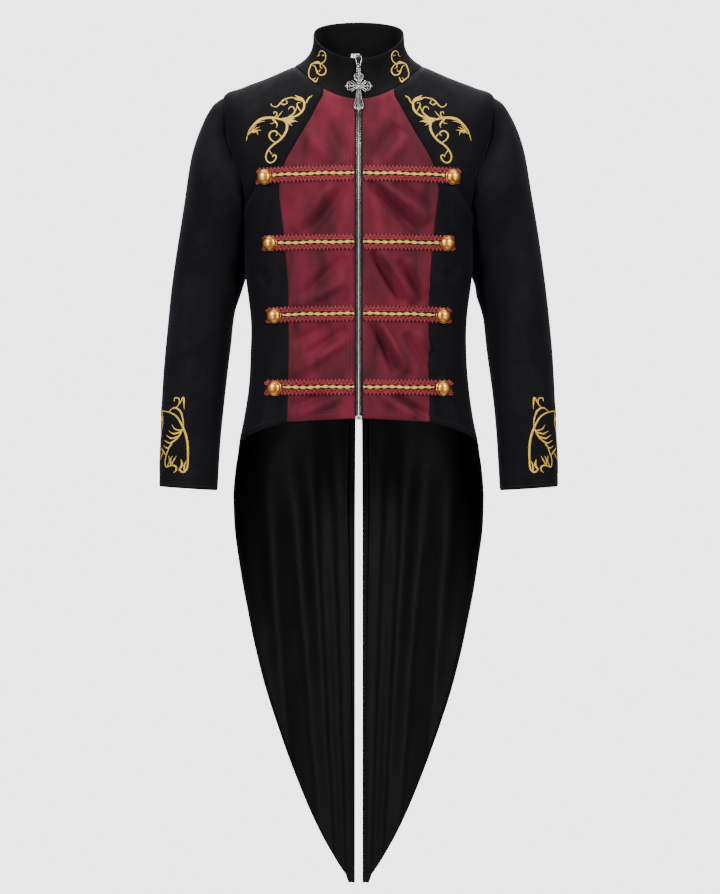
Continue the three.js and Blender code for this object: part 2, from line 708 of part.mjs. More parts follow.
function sliderGeometry() {
  const { halfWidth, top, shoulder, tipHalfWidth, bottom, back, depth } = PLATE;
  const face = polygon([
    [-halfWidth, top],
    [-halfWidth, shoulder],
    [-tipHalfWidth, bottom],
    [tipHalfWidth, bottom],
    [halfWidth, shoulder],
    [halfWidth, top],
  ]);
  const arch = polygon([
    [ARCH.low, ARCH.foot],
    [ARCH.low + ARCH.bar, ARCH.foot],
    [ARCH.low + ARCH.bar, ARCH.top - ARCH.roof],
    [ARCH.high - ARCH.bar, ARCH.top - ARCH.roof],
    [ARCH.high - ARCH.bar, ARCH.foot],
    [ARCH.high, ARCH.foot],
    [ARCH.high, ARCH.top],
    [ARCH.low, ARCH.top],
  ]);
  const turned = new THREE.Matrix4().makeBasis(
    new THREE.Vector3(0, 1, 0),
    new THREE.Vector3(0, 0, 1),
    new THREE.Vector3(1, 0, 0),
  );
  return fuse([
    plate(face, depth, back),
    plate(arch, ARCH.width, -ARCH.width / 2).applyMatrix4(turned),
  ]);
}

hang(add("zip_slider", sliderGeometry(), SILVER), rimFront, 0);

function linkGeometry() {
  const outline = (grow) => {
    const [high, low] = [grow, -LINK.reach - grow];
    const [top, base] = [LINK.topWidth / 2 - LINK.wire / 2 + grow, LINK.lowWidth / 2 - LINK.wire / 2 + grow];
    const round = LINK.wire;
    return [
      [-top + round, high],
      [-top, high - round],
      [-base, low + round],
      [-base + round, low],
      [base - round, low],
      [base, low + round],
      [top, high - round],
      [top - round, high],
    ];
  };
  const shape = polygon(outline(LINK.wire / 2));
  shape.holes.push(polygon(outline(-LINK.wire / 2)));
  return plate(shape, LINK.wire, -LINK.wire / 2);
}

const linkPivot = rimFront.clone().add(new THREE.Vector3(0, -LINK.out, LINK.up));
hang(add("pull_link", linkGeometry(), SILVER), linkPivot, LINK.lean);

function crossGeometry() {
  const { thickness, top, armHeight, bottom, halfSpan } = CROSS;
  const flat = (shape) => plate(shape, thickness, -thickness / 2);
  const diamond = (x, y, dx, dy, half) =>
    polygon([
      [x + dx, y + dy],
      [x - dy * half, y + dx * half],
      [x - dx, y - dy],
      [x + dy * half, y - dx * half],
    ]);
  const bar = (x, y, halfWidth, halfHeight) =>
    polygon([
      [x - halfWidth, y - halfHeight],
      [x + halfWidth, y - halfHeight],
      [x + halfWidth, y + halfHeight],
      [x - halfWidth, y + halfHeight],
    ]);
  const pieces = [
    flat(bar(0, (top - BAR_INSET + bottom) / 2, ARM_HALF_WIDTH, (top - BAR_INSET - bottom) / 2)),
    flat(bar(0, armHeight, halfSpan - 1, ARM_HALF_WIDTH)),
    flat(disc(0, armHeight, BOSS_RADIUS)),
    flat(
      polygon([
        [-ARM_HALF_WIDTH, armHeight - FLARE.drop],
        [-FLARE.halfWidth, bottom + FLARE.rise],
        [FLARE.halfWidth, bottom + FLARE.rise],
        [ARM_HALF_WIDTH, armHeight - FLARE.drop],
      ]),
    ),
  ];
  for (const [x, y, dx, dy] of [
    [0, top - TIP_REACH, 0, 1],
    [0, bottom + TIP_REACH, 0, -1],
    [halfSpan - TIP_REACH, armHeight, 1, 0],
    [-halfSpan + TIP_REACH, armHeight, -1, 0],
  ]) {
    pieces.push(flat(diamond(x, y, dx * TIP_REACH, dy * TIP_REACH, TIP_BREADTH)));
    for (const side of [-1, 1]) {
      const lobeX = x - dx * LOBE.back + side * dy * LOBE.aside;
      const lobeY = y - dy * LOBE.back + side * dx * LOBE.aside;
      pieces.push(flat(disc(lobeX, lobeY, LOBE.radius)));
    }
  }
  for (const turn of [45, 135, 225, 315]) {
    const angle = THREE.MathUtils.degToRad(turn);
    const [dx, dy] = [Math.cos(angle) * RAY.reach, Math.sin(angle) * RAY.reach];
    pieces.push(flat(diamond(0, armHeight, dx, dy, RAY.halfWidth / RAY.reach)));
  }
  const jump = new THREE.TorusGeometry(JUMP_RING.radius, JUMP_RING.wire, 5, 10).rotateY(Math.PI / 2);
  pieces.push(jump.translate(0, JUMP_RING.drop, 0));
  pieces.push(new THREE.TorusGeometry(EYE.radius, EYE.wire, 5, 12).translate(0, EYE.drop, 0));
  return fuse(pieces);
}

const linkLean = THREE.MathUtils.degToRad(LINK.lean);
const crossPivot = linkPivot
  .clone()
  .add(new THREE.Vector3(0, -Math.sin(linkLean), -Math.cos(linkLean)).multiplyScalar(LINK.reach));
hang(add("pull_cross", crossGeometry(), SILVER), crossPivot, CROSS.lean);

// Braids, their gold cords and the buttons at their outer ends
function onFront(x, z, out) {
  return clothPoint(locate(x, z), out);
}

const braidHeight = (row, x) => row.z + row.rise * (1 - x / row.buttonX);

function braidSections(row) {
  const end = row.buttonX + BRAID_PAST_BUTTON;
  const steps = 2 * BRAID_LOOPS;
  return Array.from({ length: steps + 1 }, (_, step) => {
    const x = mix(BRAID_START_X, end, step / steps);
    const z = braidHeight(row, x);
    const half = BRAID_HALF_WIDTH - (step % 2 ? 0 : BRAID_LOOP_DIP);
    return [
      [-half, BRAID_BASE],
      [-half + BRAID_RIM, BRAID_CREST],
      [0, BRAID_GROOVE],
      [half - BRAID_RIM, BRAID_CREST],
      [half, BRAID_BASE],
    ].map(([across, out]) => onFront(x, z + across, out));
  });
}

function cordSections(row) {
  return Array.from({ length: CORD_STEPS + 1 }, (_, step) => {
    const x = mix(BRAID_START_X, row.buttonX - BRAID_PAST_BUTTON, step / CORD_STEPS);
    const z = braidHeight(row, x);
    return [
      [-CORD_HALF_WIDTH, CORD_BASE],
      [-CORD_HALF_WIDTH / 2, CORD_BASE + CORD_HEIGHT],
      [CORD_HALF_WIDTH / 2, CORD_BASE + CORD_HEIGHT],
      [CORD_HALF_WIDTH, CORD_BASE],
    ].map(([across, out]) => onFront(x, z + across, out));
  });
}

function buttonGeometry() {
  const profile = [
    [0, 0],
    [0.92, 0],
    [1, 0.2],
    [0.88, 0.55],
    [0.5, 0.9],
    [0, 1],
  ].map(([across, up]) => new THREE.Vector2(across * BUTTON_RADIUS, up * BUTTON_HEIGHT));
  return new THREE.LatheGeometry(profile, BUTTON_SIDES);
}

BRAID_ROWS.forEach((row, index) => {
  const number = index + 1;
  const seat = locate(row.buttonX, row.buttonZ);
  const seatPoint = clothPoint(seat, BRAID_CREST + LAYER_GAP);
  for (const [side, name] of [[1, "left"], [-1, "right"]]) {
    const turned = (sections) => (side > 0 ? sections : mirrored(sections));
    add(`braid_${number}_${name}`, loft(turned(braidSections(row))), RED_BRAID);
    add(`cord_${number}_${name}`, loft(turned(cordSections(row))), GOLD_CORD);
    const button = add(`button_${number}_${name}`, buttonGeometry(), BRASS);
    const flip = new THREE.Vector3(side, 1, 1);
    button.position.copy(seatPoint).multiply(flip);
    const normal = bodyNormal(seat.angle, seat.level).multiply(flip);
    button.quaternion.setFromUnitVectors(new THREE.Vector3(0, 1, 0), normal);
  }
});

// Plain woven label inside the back of the collar
const labelLayer = (out) =>
  [LABEL.high, LABEL.low].map((height) =>
    [-1, 0, 1].map((step) => {
      const x = LABEL.x + (step * LABEL.width) / 2;
      return collarOut(Math.PI - Math.asin(x / LABEL.girth), height, out);
    }),
  );
const LABEL_OUT = -CLOTH - LABEL.gap;
add("neck_label", wall(labelLayer(LABEL_OUT), labelLayer(LABEL_OUT - LABEL.thickness)), WHITE_TAPE);

export default coat;
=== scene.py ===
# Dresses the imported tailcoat: velvet and satin with folds and stitches, looped braids with twisted gold
# cords, domed buttons, zip teeth, a filigree cross pull and gold scroll embroidery. Lengths are in
# millimetres here and become metres when a mesh is made.
from math import cos, pi, radians, sin, tau

import bmesh
import bpy
import numpy as np
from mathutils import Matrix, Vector


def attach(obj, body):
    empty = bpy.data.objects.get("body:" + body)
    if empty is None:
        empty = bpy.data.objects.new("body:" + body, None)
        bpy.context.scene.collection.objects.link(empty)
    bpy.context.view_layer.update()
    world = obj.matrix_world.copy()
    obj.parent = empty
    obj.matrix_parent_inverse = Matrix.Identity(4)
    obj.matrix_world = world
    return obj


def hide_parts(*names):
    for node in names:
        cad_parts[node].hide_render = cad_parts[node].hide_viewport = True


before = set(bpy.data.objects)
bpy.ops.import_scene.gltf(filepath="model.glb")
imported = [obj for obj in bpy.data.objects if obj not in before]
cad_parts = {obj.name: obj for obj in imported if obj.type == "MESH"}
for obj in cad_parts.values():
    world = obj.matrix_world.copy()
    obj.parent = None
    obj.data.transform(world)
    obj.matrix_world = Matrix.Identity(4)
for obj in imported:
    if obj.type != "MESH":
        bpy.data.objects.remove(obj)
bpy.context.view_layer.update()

MM = 0.001

# Walls and gaps, as in the solid model
CLOTH = 2.2
LINING = 1.0
LINING_OUT = -3.05
ZIP_HALF_GAP = 5.8
BOXINESS = 0.85
EDGE_ROLL = 0.7
INNER_ROLL = 0.4
DRAWN_IN = 0.05

# How finely the cloth is divided: rows and columns for each step of the solid model
ROWS = 8
COLUMNS = 6
ARMHOLE_STEPS = 8 * ROWS
SIDE_STEPS = 8 * ROWS
TAIL_STEPS = 11 * ROWS
NECK_BEND_ROWS = 4 * ROWS
SHOULDER_STEPS = 4 * COLUMNS
FRONT_NECK_STEPS = 2 * COLUMNS
BACK_NECK_STEPS = 6 * COLUMNS
PLASTRON_STEPS = 8 * COLUMNS
FRONT_STEPS = ARMHOLE_STEPS + SIDE_STEPS

# Level lines from the neck seam to the tails' tips: heights at centre front, side and centre back, the
# half width, and the reach at front, side and back
LEVELS = np.array([
    [-58, 0, 4, 98, -95, -8, 62],
    [-92, -18, -22, 140, -106, -4, 84],
    [-125, -32, -55, 178, -114, 0, 98],
    [-158, -48, -95, 209.5, -118, 2, 106],
    [-190, -105, -150, 209, -121, 2, 112],
    [-222, -175, -200, 194, -122, 2, 113],
    [-252, -250, -251, 178, -122, 2, 111],
    [-320, -320, -320, 174, -121, 2, 104],
    [-390, -390, -390, 166, -119, 2, 97],
    [-440, -440, -440, 166, -119, 2, 98],
    [-490, -490, -490, 169, -120, 2, 104],
    [-540, -540, -540, 176, -121, 3, 112],
    [-590, -590, -590, 186, -121, 6, 120],
    [-650, -650, -650, 193, -118, 14, 127],
    [-720, -720, -720, 195, -110, 26, 131],
    [-830, -830, -830, 194, -100, 46, 133],
    [-960, -960, -960, 190, -90, 68, 134],
    [-1110, -1110, -1110, 182, -80, 90, 133],
    [-1275, -1275, -1275, 172, -70, 108, 131],
], float)
SHOULDER_LEVEL = 3
UNDERARM_LEVEL = 6
CENTRE_HEM_Z = -541
SIDE_HEM_Z = -580
TAIL_TIP = (16, -1270)

# Seam lines: distance from the centre line and height
PLASTRON_EDGE = [(52.7, -50), (84, -107), (113.5, -160), (120, -190), (113.5, -262), (107, -340),
                 (106, -434), (108, -546)]
FRONT_ARMHOLE = [(209.5, -48), (206.5, -60), (204.5, -82), (201.5, -110), (192, -140), (179, -170),
                 (174, -208), (178, -250)]
BACK_ARMHOLE = [(209.5, -48), (205.5, -57), (201, -78), (195, -110), (187, -148), (178, -185),
                (173.5, -218), (178, -250)]
TAIL_EDGE = [(184.5, -580), (192.5, -640), (193.5, -700), (187, -760), (177, -825), (150, -950),
             (108.5, -1076), (70, -1171), (36, -1234), (16, -1263)]
VENT = [(0, 4), (0, -455), (2, -480), (4.8, -545), (5.6, -700), (6, -1275)]
CENTRE_BACK = [(0, 4), (ARMHOLE_STEPS, -262), (FRONT_STEPS, -590), (FRONT_STEPS + TAIL_STEPS, -1270)]

# Collar rim: half width, then reach and height at centre front, side and centre back, and how fully the
# height curves towards the front and the back
RIM_HALF_WIDTH = 70
RIM_REACH = (-76, -4, 60)
RIM_HEIGHT = (5, 48, 76)
RIM_CURVE = (1.25, 0.7)
COLLAR_ROLL = 3
COLLAR_ROWS = 20

# Crease of the collar: angle, half width as an angle, and depth
COLLAR_CREASE = (0.52, 0.10, -1.6)

# Sleeve rings: outer x, z, inner x, z, front, back and inner reach, share of the armhole's own shape
SLEEVE_RINGS = np.array([
    [209.5, -48, 178, -250, -58, 54, 2, 1],
    [224, -60, 178.8, -254, -72, 68, 4, 0.75],
    [241, -90, 176, -261, -80, 82, 14, 0.4],
    [256, -135, 173.6, -274, -80, 90, 26, 0.12],
    [268, -204, 172.6, -297, -72, 90, 34, 0],
    [278.5, -272, 172.6, -318, -68, 84, 32, 0],
    [288.5, -345, 189, -370, -64, 76, 20, 0],
    [296.5, -430, 197.5, -438, -64, 64, 6, 0],
    [301, -500, 205, -502, -66, 52, -6, 0],
    [304, -572, 211.5, -575, -66, 42, -12, 0],
    [305.5, -644, 216, -650, -66, 34, -16, 0],
], float)
LAST_RING = len(SLEEVE_RINGS) - 1
SLEEVE_ROWS_PER_RING = 12
SLEEVE_SEAM_GAP = 0.5
SEAM_ALLOWANCE = 4

# Lengths on the cuff: a quarter of the way round, and from one ring up to the next
CUFF_QUARTER = 75
CUFF_RING_STEP = 72

# Folds seen from the front: both ends, half width and depth. The sign of x is the side of the coat.
FRONT_FOLDS = [
    (22, -152, 58, -98, 11, -3.8),
    (40, -158, 74, -116, 10, 3.2),
    (15, -184, 92, -264, 7, -6.2),
    (30, -184, 104, -244, 8, 5.0),
    (52, -186, 112, -226, 8, -3.2),
    (19, -290, 67, -368, 6, -6.6),
    (32, -290, 82, -366, 7, 5.6),
    (60, -302, 96, -368, 6, -4.4),
    (76, -300, 104, -350, 7, 3.4),
    (22, -398, 57, -472, 6, -6.0),
    (34, -398, 74, -472, 7, 5.0),
    (70, -412, 104, -468, 6, -4.2),
    (88, -408, 108, -440, 7, 3.0),
    (52, -506, 108, -538, 6, -4.4),
    (34, -508, 84, -540, 7, 3.6),
    (-20, -150, -66, -78, 13, -3.4),
    (-40, -158, -84, -110, 12, 2.8),
    (-18, -190, -78, -268, 9, -4.2),
    (-34, -188, -98, -258, 10, 4.2),
    (-20, -296, -88, -362, 9, -4.2),
    (-18, -334, -98, -374, 8, 4.0),
    (-18, -404, -80, -448, 9, -4.2),
    (-20, -424, -98, -476, 8, 4.6),
    (-44, -400, -100, -428, 9, -3.0),
    (-24, -508, -92, -538, 7, 4.0),
    (-50, -504, -104, -524, 7, -3.4),
    (146, -176, 176, -226, 5, -4.2),
    (138, -190, 172, -246, 6, 3.4),
    (132, -214, 158, -300, 8, -2.6),
    (-156, -186, -174, -214, 4, -4.4),
    (-146, -184, -172, -236, 6, 3.6),
    (-134, -214, -158, -300, 8, -2.6),
    (-172, -596, -142, -640, 8, 3.0),
    (-178, -604, -132, -614, 6, -3.0),
    (134, -330, 160, -296, 8, -2.8),
    (-134, -340, -160, -306, 8, -2.8),
    (128, -462, 152, -560, 9, 3.0),
    (-128, -452, -152, -560, 9, 3.0),
    (112, -470, 130, -552, 7, -2.2),
    (-112, -470, -130, -552, 7, -2.2),
]

# How strongly these folds stand out on the side fronts and on the plastrons, and the distances from the
# centre line between which the one passes into the other
FRONT_RELIEF = 1.3
PLASTRON_RELIEF = 2.35
PLASTRON_TO_FRONT_X = (104, 118)

# Folds of the back, listed in the same way
BACK_FOLDS = [
    (60, -380, 100, -470, 12, -3.0),
    (20, -400, 60, -440, 10, 2.4),
    (110, -330, 150, -300, 10, -2.4),
    (-60, -370, -104, -480, 12, -3.0),
    (-26, -410, -60, -430, 10, 2.4),
    (-110, -340, -150, -306, 10, -2.4),
    (90, -150, 150, -230, 16, -2.6),
    (-90, -150, -150, -235, 16, -2.6),
]

# Folds of a tail: distance from the centre line at the hem and at the tip, half width and depth, and the
# heights where they start and are full
TAIL_FOLDS = [(42, 20, 15, -5), (74, 36, 17, 6), (112, 60, 19, -6), (152, 90, 18, 5)]
TAIL_FOLD_START_Z = -500
TAIL_FOLD_FULL_Z = -760

# Where folds and ripples fade out: beside the centre line, from front to back and towards the neck
FOLD_FADE_X = (7, 20)
FOLD_FADE_Y = (0, 30)
RIPPLE = 0.5
RIPPLE_FADE_X = (10, 40)
RIPPLE_FADE_Z = (-60, -140)

# Folds of a sleeve: ring and turn of both ends, half width in rings, depth. A full turn counts as
# SLEEVE_TURN rings, and the slant is added to a fold's turn on one side and taken off on the other.
SLEEVE_TURN = 5
SLEEVE_FOLD_SLANT = 0.06
SLEEVE_FOLDS = [
    (3.2, 0.18, 6.0, 0.26, 0.50, -3.2),
    (3.6, 0.30, 5.6, 0.42, 0.45, -3.0),
    (5.3, 0.20, 6.6, 0.38, 0.42, -3.4),
    (6.2, 0.14, 7.0, 0.34, 0.40, 3.0),
    (7.2, 0.16, 8.2, 0.36, 0.42, -2.8),
    (5.6, 0.60, 6.8, 0.86, 0.50, -3.4),
    (6.3, 0.58, 7.4, 0.82, 0.45, 2.8),
    (4.6, 0.36, 5.6, 0.46, 0.40, -3.0),
    (5.2, 0.40, 6.0, 0.50, 0.40, 2.4),
    (2.2, 0.30, 4.2, 0.20, 0.50, 2.2),
    (2.2, 0.72, 4.4, 0.80, 0.50, 2.2),
]

# Braid rows: height, the button's place across and up, and the row's rise towards the zip
BRAID_ROWS = [(-174, 140.5, -176, 1.5), (-276, 132, -275.7, 0), (-384, 125.5, -385.5, 0.8),
              (-494, 125.5, -495.5, 0.5)]
BRAID_START_X = 7
BRAID_PAST_BUTTON = 12.5
LOOP_PITCH = 6.0
LOOP_CURL = 1.7
LOOP_ROWS = ((8.9, 2.9), (7.0, -2.6))
LOOP_THREAD = 0.62
LOOP_OUT = 2.0
LOOP_LIFT = 0.5
LOOP_WOBBLE = 0.3
CORNER_INSET = 2.6
CORNER_CENTRE = 7.7
CORNER_THREAD = 1.3 * LOOP_THREAD
CORNER_TURNS = 1.6
CORNER_STEPS = 40
CORNER_HALF_WIDTH = 2.3
CORNER_HALF_HEIGHT = 2.6
CORNER_OUT = (2.2, 3.2)
BORDER_CENTRE = 4.5
BORDER_THREAD = 0.75
BORDER_WAVE = 0.55
BORDER_OUT = 2.5
BACKING_HALF_WIDTH = 11.4
BACKING_OUT = (1.1, 0.3)
CORD_TURN = 22
CORD_OUT = 3.6
CORD_SPREAD = 1.2
CORD_PLY = (0.65, 1.25)
CORD_WAVE = 0.45
PLY_STRANDS = 5
PLY_TWIST = 0.55

# How fast the front turns to the side, for each millimetre from the centre line
FRONT_CURVE = 0.0055

BUTTON_RADIUS = 11.5
BUTTON_HEIGHT = 9.4
BUTTON_OUT = 3.4
BUTTON_SIDES = 56
BUTTON_FORWARD = 0.6

# Zip tape: distances from the centre line and how far its bead stands out there, and both faces
TAPE_SECTION = ((0.4, 0), (3.0, 0.1), (3.7, 0.7), (4.4, 0.1), (5.5, 0), (8, 0), (11, 0), (14, 0))
TAPE_OUT = (-2.5, -3.5)

# Zip tooth from its root to its head: place across the zip, half width along it and half height
TOOTH = ((3.3, 0.25, 1.0), (2.8, 0.4, 1.35), (-0.2, 0.4, 1.35), (-0.9, 0.25, 0.9))
TOOTH_IN = 0.8
TOOTH_PITCH = 1.35
CHAIN_SAMPLES = 900
CHAIN_END_Z = -536.4
STOP_Z = -539.8

STITCH_PITCH = 3.4
STITCH_LENGTH = 2.6
STITCH_RADIUS = 0.32
HEM_TURN = 8
FRONT_EDGE_LENGTH = 500

# Topstitched lines beside the zip: distance from the centre line and height of the upper end
TOPSTITCHES = ((11, -64), (15.7, -66))

# Gold strokes: distance out of the cloth and height of a stroke's section
STROKE_OUT = 0.25
STROKE_HEIGHT = 0.75

# Label in the collar: its sides across, its ends as shares of the collar's height, both of its faces and
# the collar's half width there
LABEL_X = (1.4, -12.6)
LABEL_HEIGHT = (0.32, 0.18)
LABEL_OUT = (-3.1, -4.1)
LABEL_COLLAR_HALF_WIDTH = 80

# The zip's pull: where the slider, the link and the cross sit, and how many degrees the last two lean out
RIM_FRONT = np.array([0.0, RIM_REACH[0], RIM_HEIGHT[0]])
LINK_PIVOT = np.array([0.0, -79.4, 6.4])
LINK_LEAN = 4.4
CROSS_PIVOT = np.array([0.0, -80.497, -7.858])
CROSS_LEAN = 20
CROSS_CENTRE = -33.3

# Arms of the cross: reach, half width and where it is widest
SIDE_ARM = (21, 7.0, 12.5)
UPPER_ARM = (24, 7.0, 15)

# Stage and camera, in metres
FLOOR_RADIUS = 0.6
FLOOR_Z = -1.385
BACKGROUND_STRENGTH = 3.6
AMBIENT_STRENGTH = 0.32
CAMERA_PLACE = (0.002, -5.12, -0.5837)
CAMERA_LENS = 134.2

# Steps of a search by halving, and the length of one band of the wave texture at scale 1
HALVINGS = 36
WAVE_LENGTH = 6.2832 / 20


# Numbers between the rows of a table
def mix(a, b, t):
    return a + (b - a) * t


def smoothstep(low, high, value):
    t = np.clip((value - low) / (high - low), 0, 1)
    return t * t * (3 - 2 * t)


def row_at(table, index):
    place = np.clip(index, 0, len(table) - 1)
    low = np.minimum(np.floor(place).astype(int), len(table) - 2)
    t = (place - low)[..., None]
    a, b, c, d = (table[np.clip(low + k, 0, len(table) - 1)] for k in (-1, 0, 1, 2))
    return b + 0.5 * t * (c - a + t * (2 * a - 5 * b + 4 * c - d + t * (3 * (b - c) + d - a)))


def smooth_line(points, steps, closed=False):
    """Points in equal lengths along a smooth line through the given ones."""
    given = np.array(points, float)
    if closed:
        padded = np.vstack([given[-1:], given, given[:2]])
    else:
        padded = np.vstack([2 * given[0] - given[1], given, 2 * given[-1] - given[-2]])
    knots = np.sqrt(np.linalg.norm(np.diff(padded, axis=0), axis=1)).clip(1e-6)
    t = np.linspace(0, 1, 25)[:, None]
    pieces = []
    for i in range(1, len(padded) - 2):
        p0, p1, p2, p3 = padded[i - 1:i + 3]
        d0, d1, d2 = knots[i - 1:i + 2]
        m1 = ((p1 - p0) / d0 - (p2 - p0) / (d0 + d1) + (p2 - p1) / d1) * d1
        m2 = ((p2 - p1) / d1 - (p3 - p1) / (d1 + d2) + (p3 - p2) / d2) * d1
        curve = p1 + t * (m1 + t * (3 * (p2 - p1) - 2 * m1 - m2 + t * (2 * (p1 - p2) + m1 + m2)))
        pieces.append(curve[:-1])
    pieces.append(padded[-2:-1])
    line = np.vstack(pieces)
    length = np.concatenate([[0], np.cumsum(np.linalg.norm(np.diff(line, axis=0), axis=1))])
    wanted = np.linspace(0, length[-1], steps + 1)
    return np.stack([np.interp(wanted, length, line[:, k]) for k in range(given.shape[1])], axis=1)


# The coat's surface: angle 0 at centre front, a quarter turn at the side, a half turn at centre back
def around(angle, half_width, reach, height):
    turn = np.cos(angle)
    ahead = turn > 0
    share = np.abs(turn) ** BOXINESS
    return np.stack([
        half_width * np.sin(angle),
        mix(reach[1], np.where(ahead, reach[0], reach[2]), share),
        mix(height[1], np.where(ahead, height[0], height[2]), turn * turn),
    ], axis=-1)


def body_point(angle, level):
    row = row_at(LEVELS, level)
    front_z, side_z, back_z, half_width, front_y, side_y, back_y = np.moveaxis(row, -1, 0)
    return around(angle, half_width, (front_y, side_y, back_y), (front_z, side_z, back_z))


def unit(vectors):
    return vectors / np.linalg.norm(vectors, axis=-1, keepdims=True).clip(1e-9)


def surface_normal(surface, u, v, step=0.02):
    across = surface(u + step, v) - surface(u - step, v)
    down = surface(u, v + step) - surface(u, v - step)
    return unit(np.cross(down, across))


def fold_lift(folds, x, z):
    lift = np.zeros_like(x)
    for x0, z0, x1, z1, half, depth in folds:
        dx, dz = x1 - x0, z1 - z0
        along = np.clip(((x - x0) * dx + (z - z0) * dz) / (dx * dx + dz * dz), 0, 1)
        away = np.hypot(x - x0 - along * dx, z - z0 - along * dz) / half
        lift += depth * np.exp(-away * away) * np.sqrt(4 * along * (1 - along))
    return lift


def tail_lift(x, z):
    strength = smoothstep(-TAIL_FOLD_START_Z, -TAIL_FOLD_FULL_Z, -z)
    down = (z - SIDE_HEM_Z) / (TAIL_TIP[1] - SIDE_HEM_Z)
    lift = np.zeros_like(x)
    for top, tip, width, depth in TAIL_FOLDS:
        away = (x - mix(top, tip, down)) / mix(width, width / 2, down)
        lift += depth * np.exp(-away * away)
    return lift * strength * mix(1, 0.5, np.clip(down, 0, 1))


def relief(points, side):
    """How far the cloth lies out of its smooth form, from folds and soft ripples."""
    x, y, z = np.moveaxis(points, -1, 0)
    depth = mix(PLASTRON_RELIEF, FRONT_RELIEF, smoothstep(*PLASTRON_TO_FRONT_X, x))
    fade = smoothstep(*FOLD_FADE_X, x) * smoothstep(*FOLD_FADE_Y, -y)
    front = depth * fold_lift(FRONT_FOLDS, x * side, z) * fade
    back = fold_lift(BACK_FOLDS, x * side, z) * smoothstep(*FOLD_FADE_Y, y)
    tails = np.where(y > 0, tail_lift(x, z), 0)
    wave = np.sin(x / 13 + side + 1.4 * np.sin(z / 47)) * np.sin(z / 31 + 0.9 * np.sin(x / 23 - side))
    calm = smoothstep(*RIPPLE_FADE_X, x) * smoothstep(*RIPPLE_FADE_Z, z)
    return front + back + tails + RIPPLE * wave * calm


def cloth_point(cells, out, side=1):
    """Points of the coat moved out from the cloth's face; side is 1 for +X and -1 for -X."""
    angle, level = cells[..., 0], cells[..., 1]
    points = body_point(angle, level)
    normal = surface_normal(body_point, angle, level)
    moved = points + normal * (np.asarray(out) + relief(points, side))[..., None]
    return moved * [side, 1, 1]


def locate(x, z, behind=False):
    """Angle and level of the points at these distances from the centre line and heights."""
    x, z = np.broadcast_arrays(np.abs(np.asarray(x, float)), np.asarray(z, float))
    low = np.zeros(x.shape)
    high = np.full(x.shape, len(LEVELS) - 1.0)

    def angle_at(level):
        angle = np.arcsin(np.clip(x / row_at(LEVELS, level)[..., 3], 0, 1))
        return pi - angle if behind else angle

    for _ in range(HALVINGS):
        middle = (low + high) / 2
        too_wide = (x > row_at(LEVELS, middle)[..., 3]) & (middle < SHOULDER_LEVEL)
        further = too_wide | (body_point(angle_at(middle), middle)[..., 2] > z)
        low = np.where(further, middle, low)
        high = np.where(further, high, middle)
    return np.stack([angle_at(low), low], axis=-1)


def along_table(table, steps, behind=False):
    line = smooth_line(table, steps)
    return locate(line[:, 0], line[:, 1], behind)


def straight(start, end, steps):
    return mix(np.array(start), np.array(end), np.linspace(0, 1, steps + 1)[:, None])


def join(first, second):
    return np.vstack([first, second[1:]])


def pinned(line, first, last):
    return np.vstack([[first], line[1:-1], [last]])


def patch(top, left, right, fade_rows=ROWS):
    """Fills the area under a top edge, between two edges that run down."""
    s = np.linspace(0, 1, len(top))[None, :, None]
    bend = top[None] - mix(top[None, :1], top[None, -1:], s)
    fade = 1 - smoothstep(0, fade_rows, np.arange(len(left)))[:, None, None]
    return mix(left[:, None], right[:, None], s) + bend * fade


# Seam lines shared by neighbouring panels
NECK_SIDE = (pi / 2, 0.0)
SHOULDER_TIP = (pi / 2, float(SHOULDER_LEVEL))
UNDERARM = (pi / 2, float(UNDERARM_LEVEL))
side_levels = np.linspace(UNDERARM_LEVEL, len(LEVELS) - 1, 2000)
SIDE_HEM = (pi / 2, float(np.interp(-SIDE_HEM_Z, -row_at(LEVELS, side_levels)[:, 1], side_levels)))


def neck_angle(x):
    return float(np.arcsin(x / LEVELS[0, 3]))


plastron_edge = along_table(PLASTRON_EDGE, FRONT_STEPS)
plastron_edge[0] = (neck_angle(PLASTRON_EDGE[0][0]), 0)
centre_edge = locate(ZIP_HALF_GAP, np.linspace(LEVELS[0, 0], CENTRE_HEM_Z, FRONT_STEPS + 1))
centre_edge[0] = (neck_angle(ZIP_HALF_GAP), 0)
front_armhole = pinned(along_table(FRONT_ARMHOLE, ARMHOLE_STEPS), SHOULDER_TIP, UNDERARM)
back_armhole = pinned(along_table(BACK_ARMHOLE, ARMHOLE_STEPS, True), SHOULDER_TIP, UNDERARM)
side_seam = straight(UNDERARM, SIDE_HEM, SIDE_STEPS)
shoulder_seam = straight(NECK_SIDE, SHOULDER_TIP, SHOULDER_STEPS)
plastron_top = straight(centre_edge[0], plastron_edge[0], PLASTRON_STEPS)
front_top = join(straight(plastron_edge[0], NECK_SIDE, FRONT_NECK_STEPS), shoulder_seam)
back_neck = straight((pi, 0), NECK_SIDE, BACK_NECK_STEPS)
tail_tip = locate(TAIL_TIP[0], TAIL_TIP[1], True)
tail_edge = pinned(along_table(TAIL_EDGE, TAIL_STEPS, True), SIDE_HEM, tail_tip)
back_edge = join(join(back_armhole, side_seam), tail_edge)
back_rows = np.arange(len(back_edge))
back_z = np.interp(back_rows, *zip(*CENTRE_BACK))
vent_x = np.interp(-back_z, [-z for _, z in VENT], [x for x, _ in VENT])
centre_back = locate(vent_x, back_z, True)
centre_back[0] = (pi, 0)

plastron_cells = patch(plastron_top, centre_edge, plastron_edge)
front_cells = patch(front_top, plastron_edge, join(front_armhole, side_seam), NECK_BEND_ROWS)
back_cells = patch(join(back_neck, shoulder_seam), centre_back, back_edge, NECK_BEND_ROWS)
lining_cells = back_cells[FRONT_STEPS - 3 * ROWS:-(ROWS // 3), 2:-2]


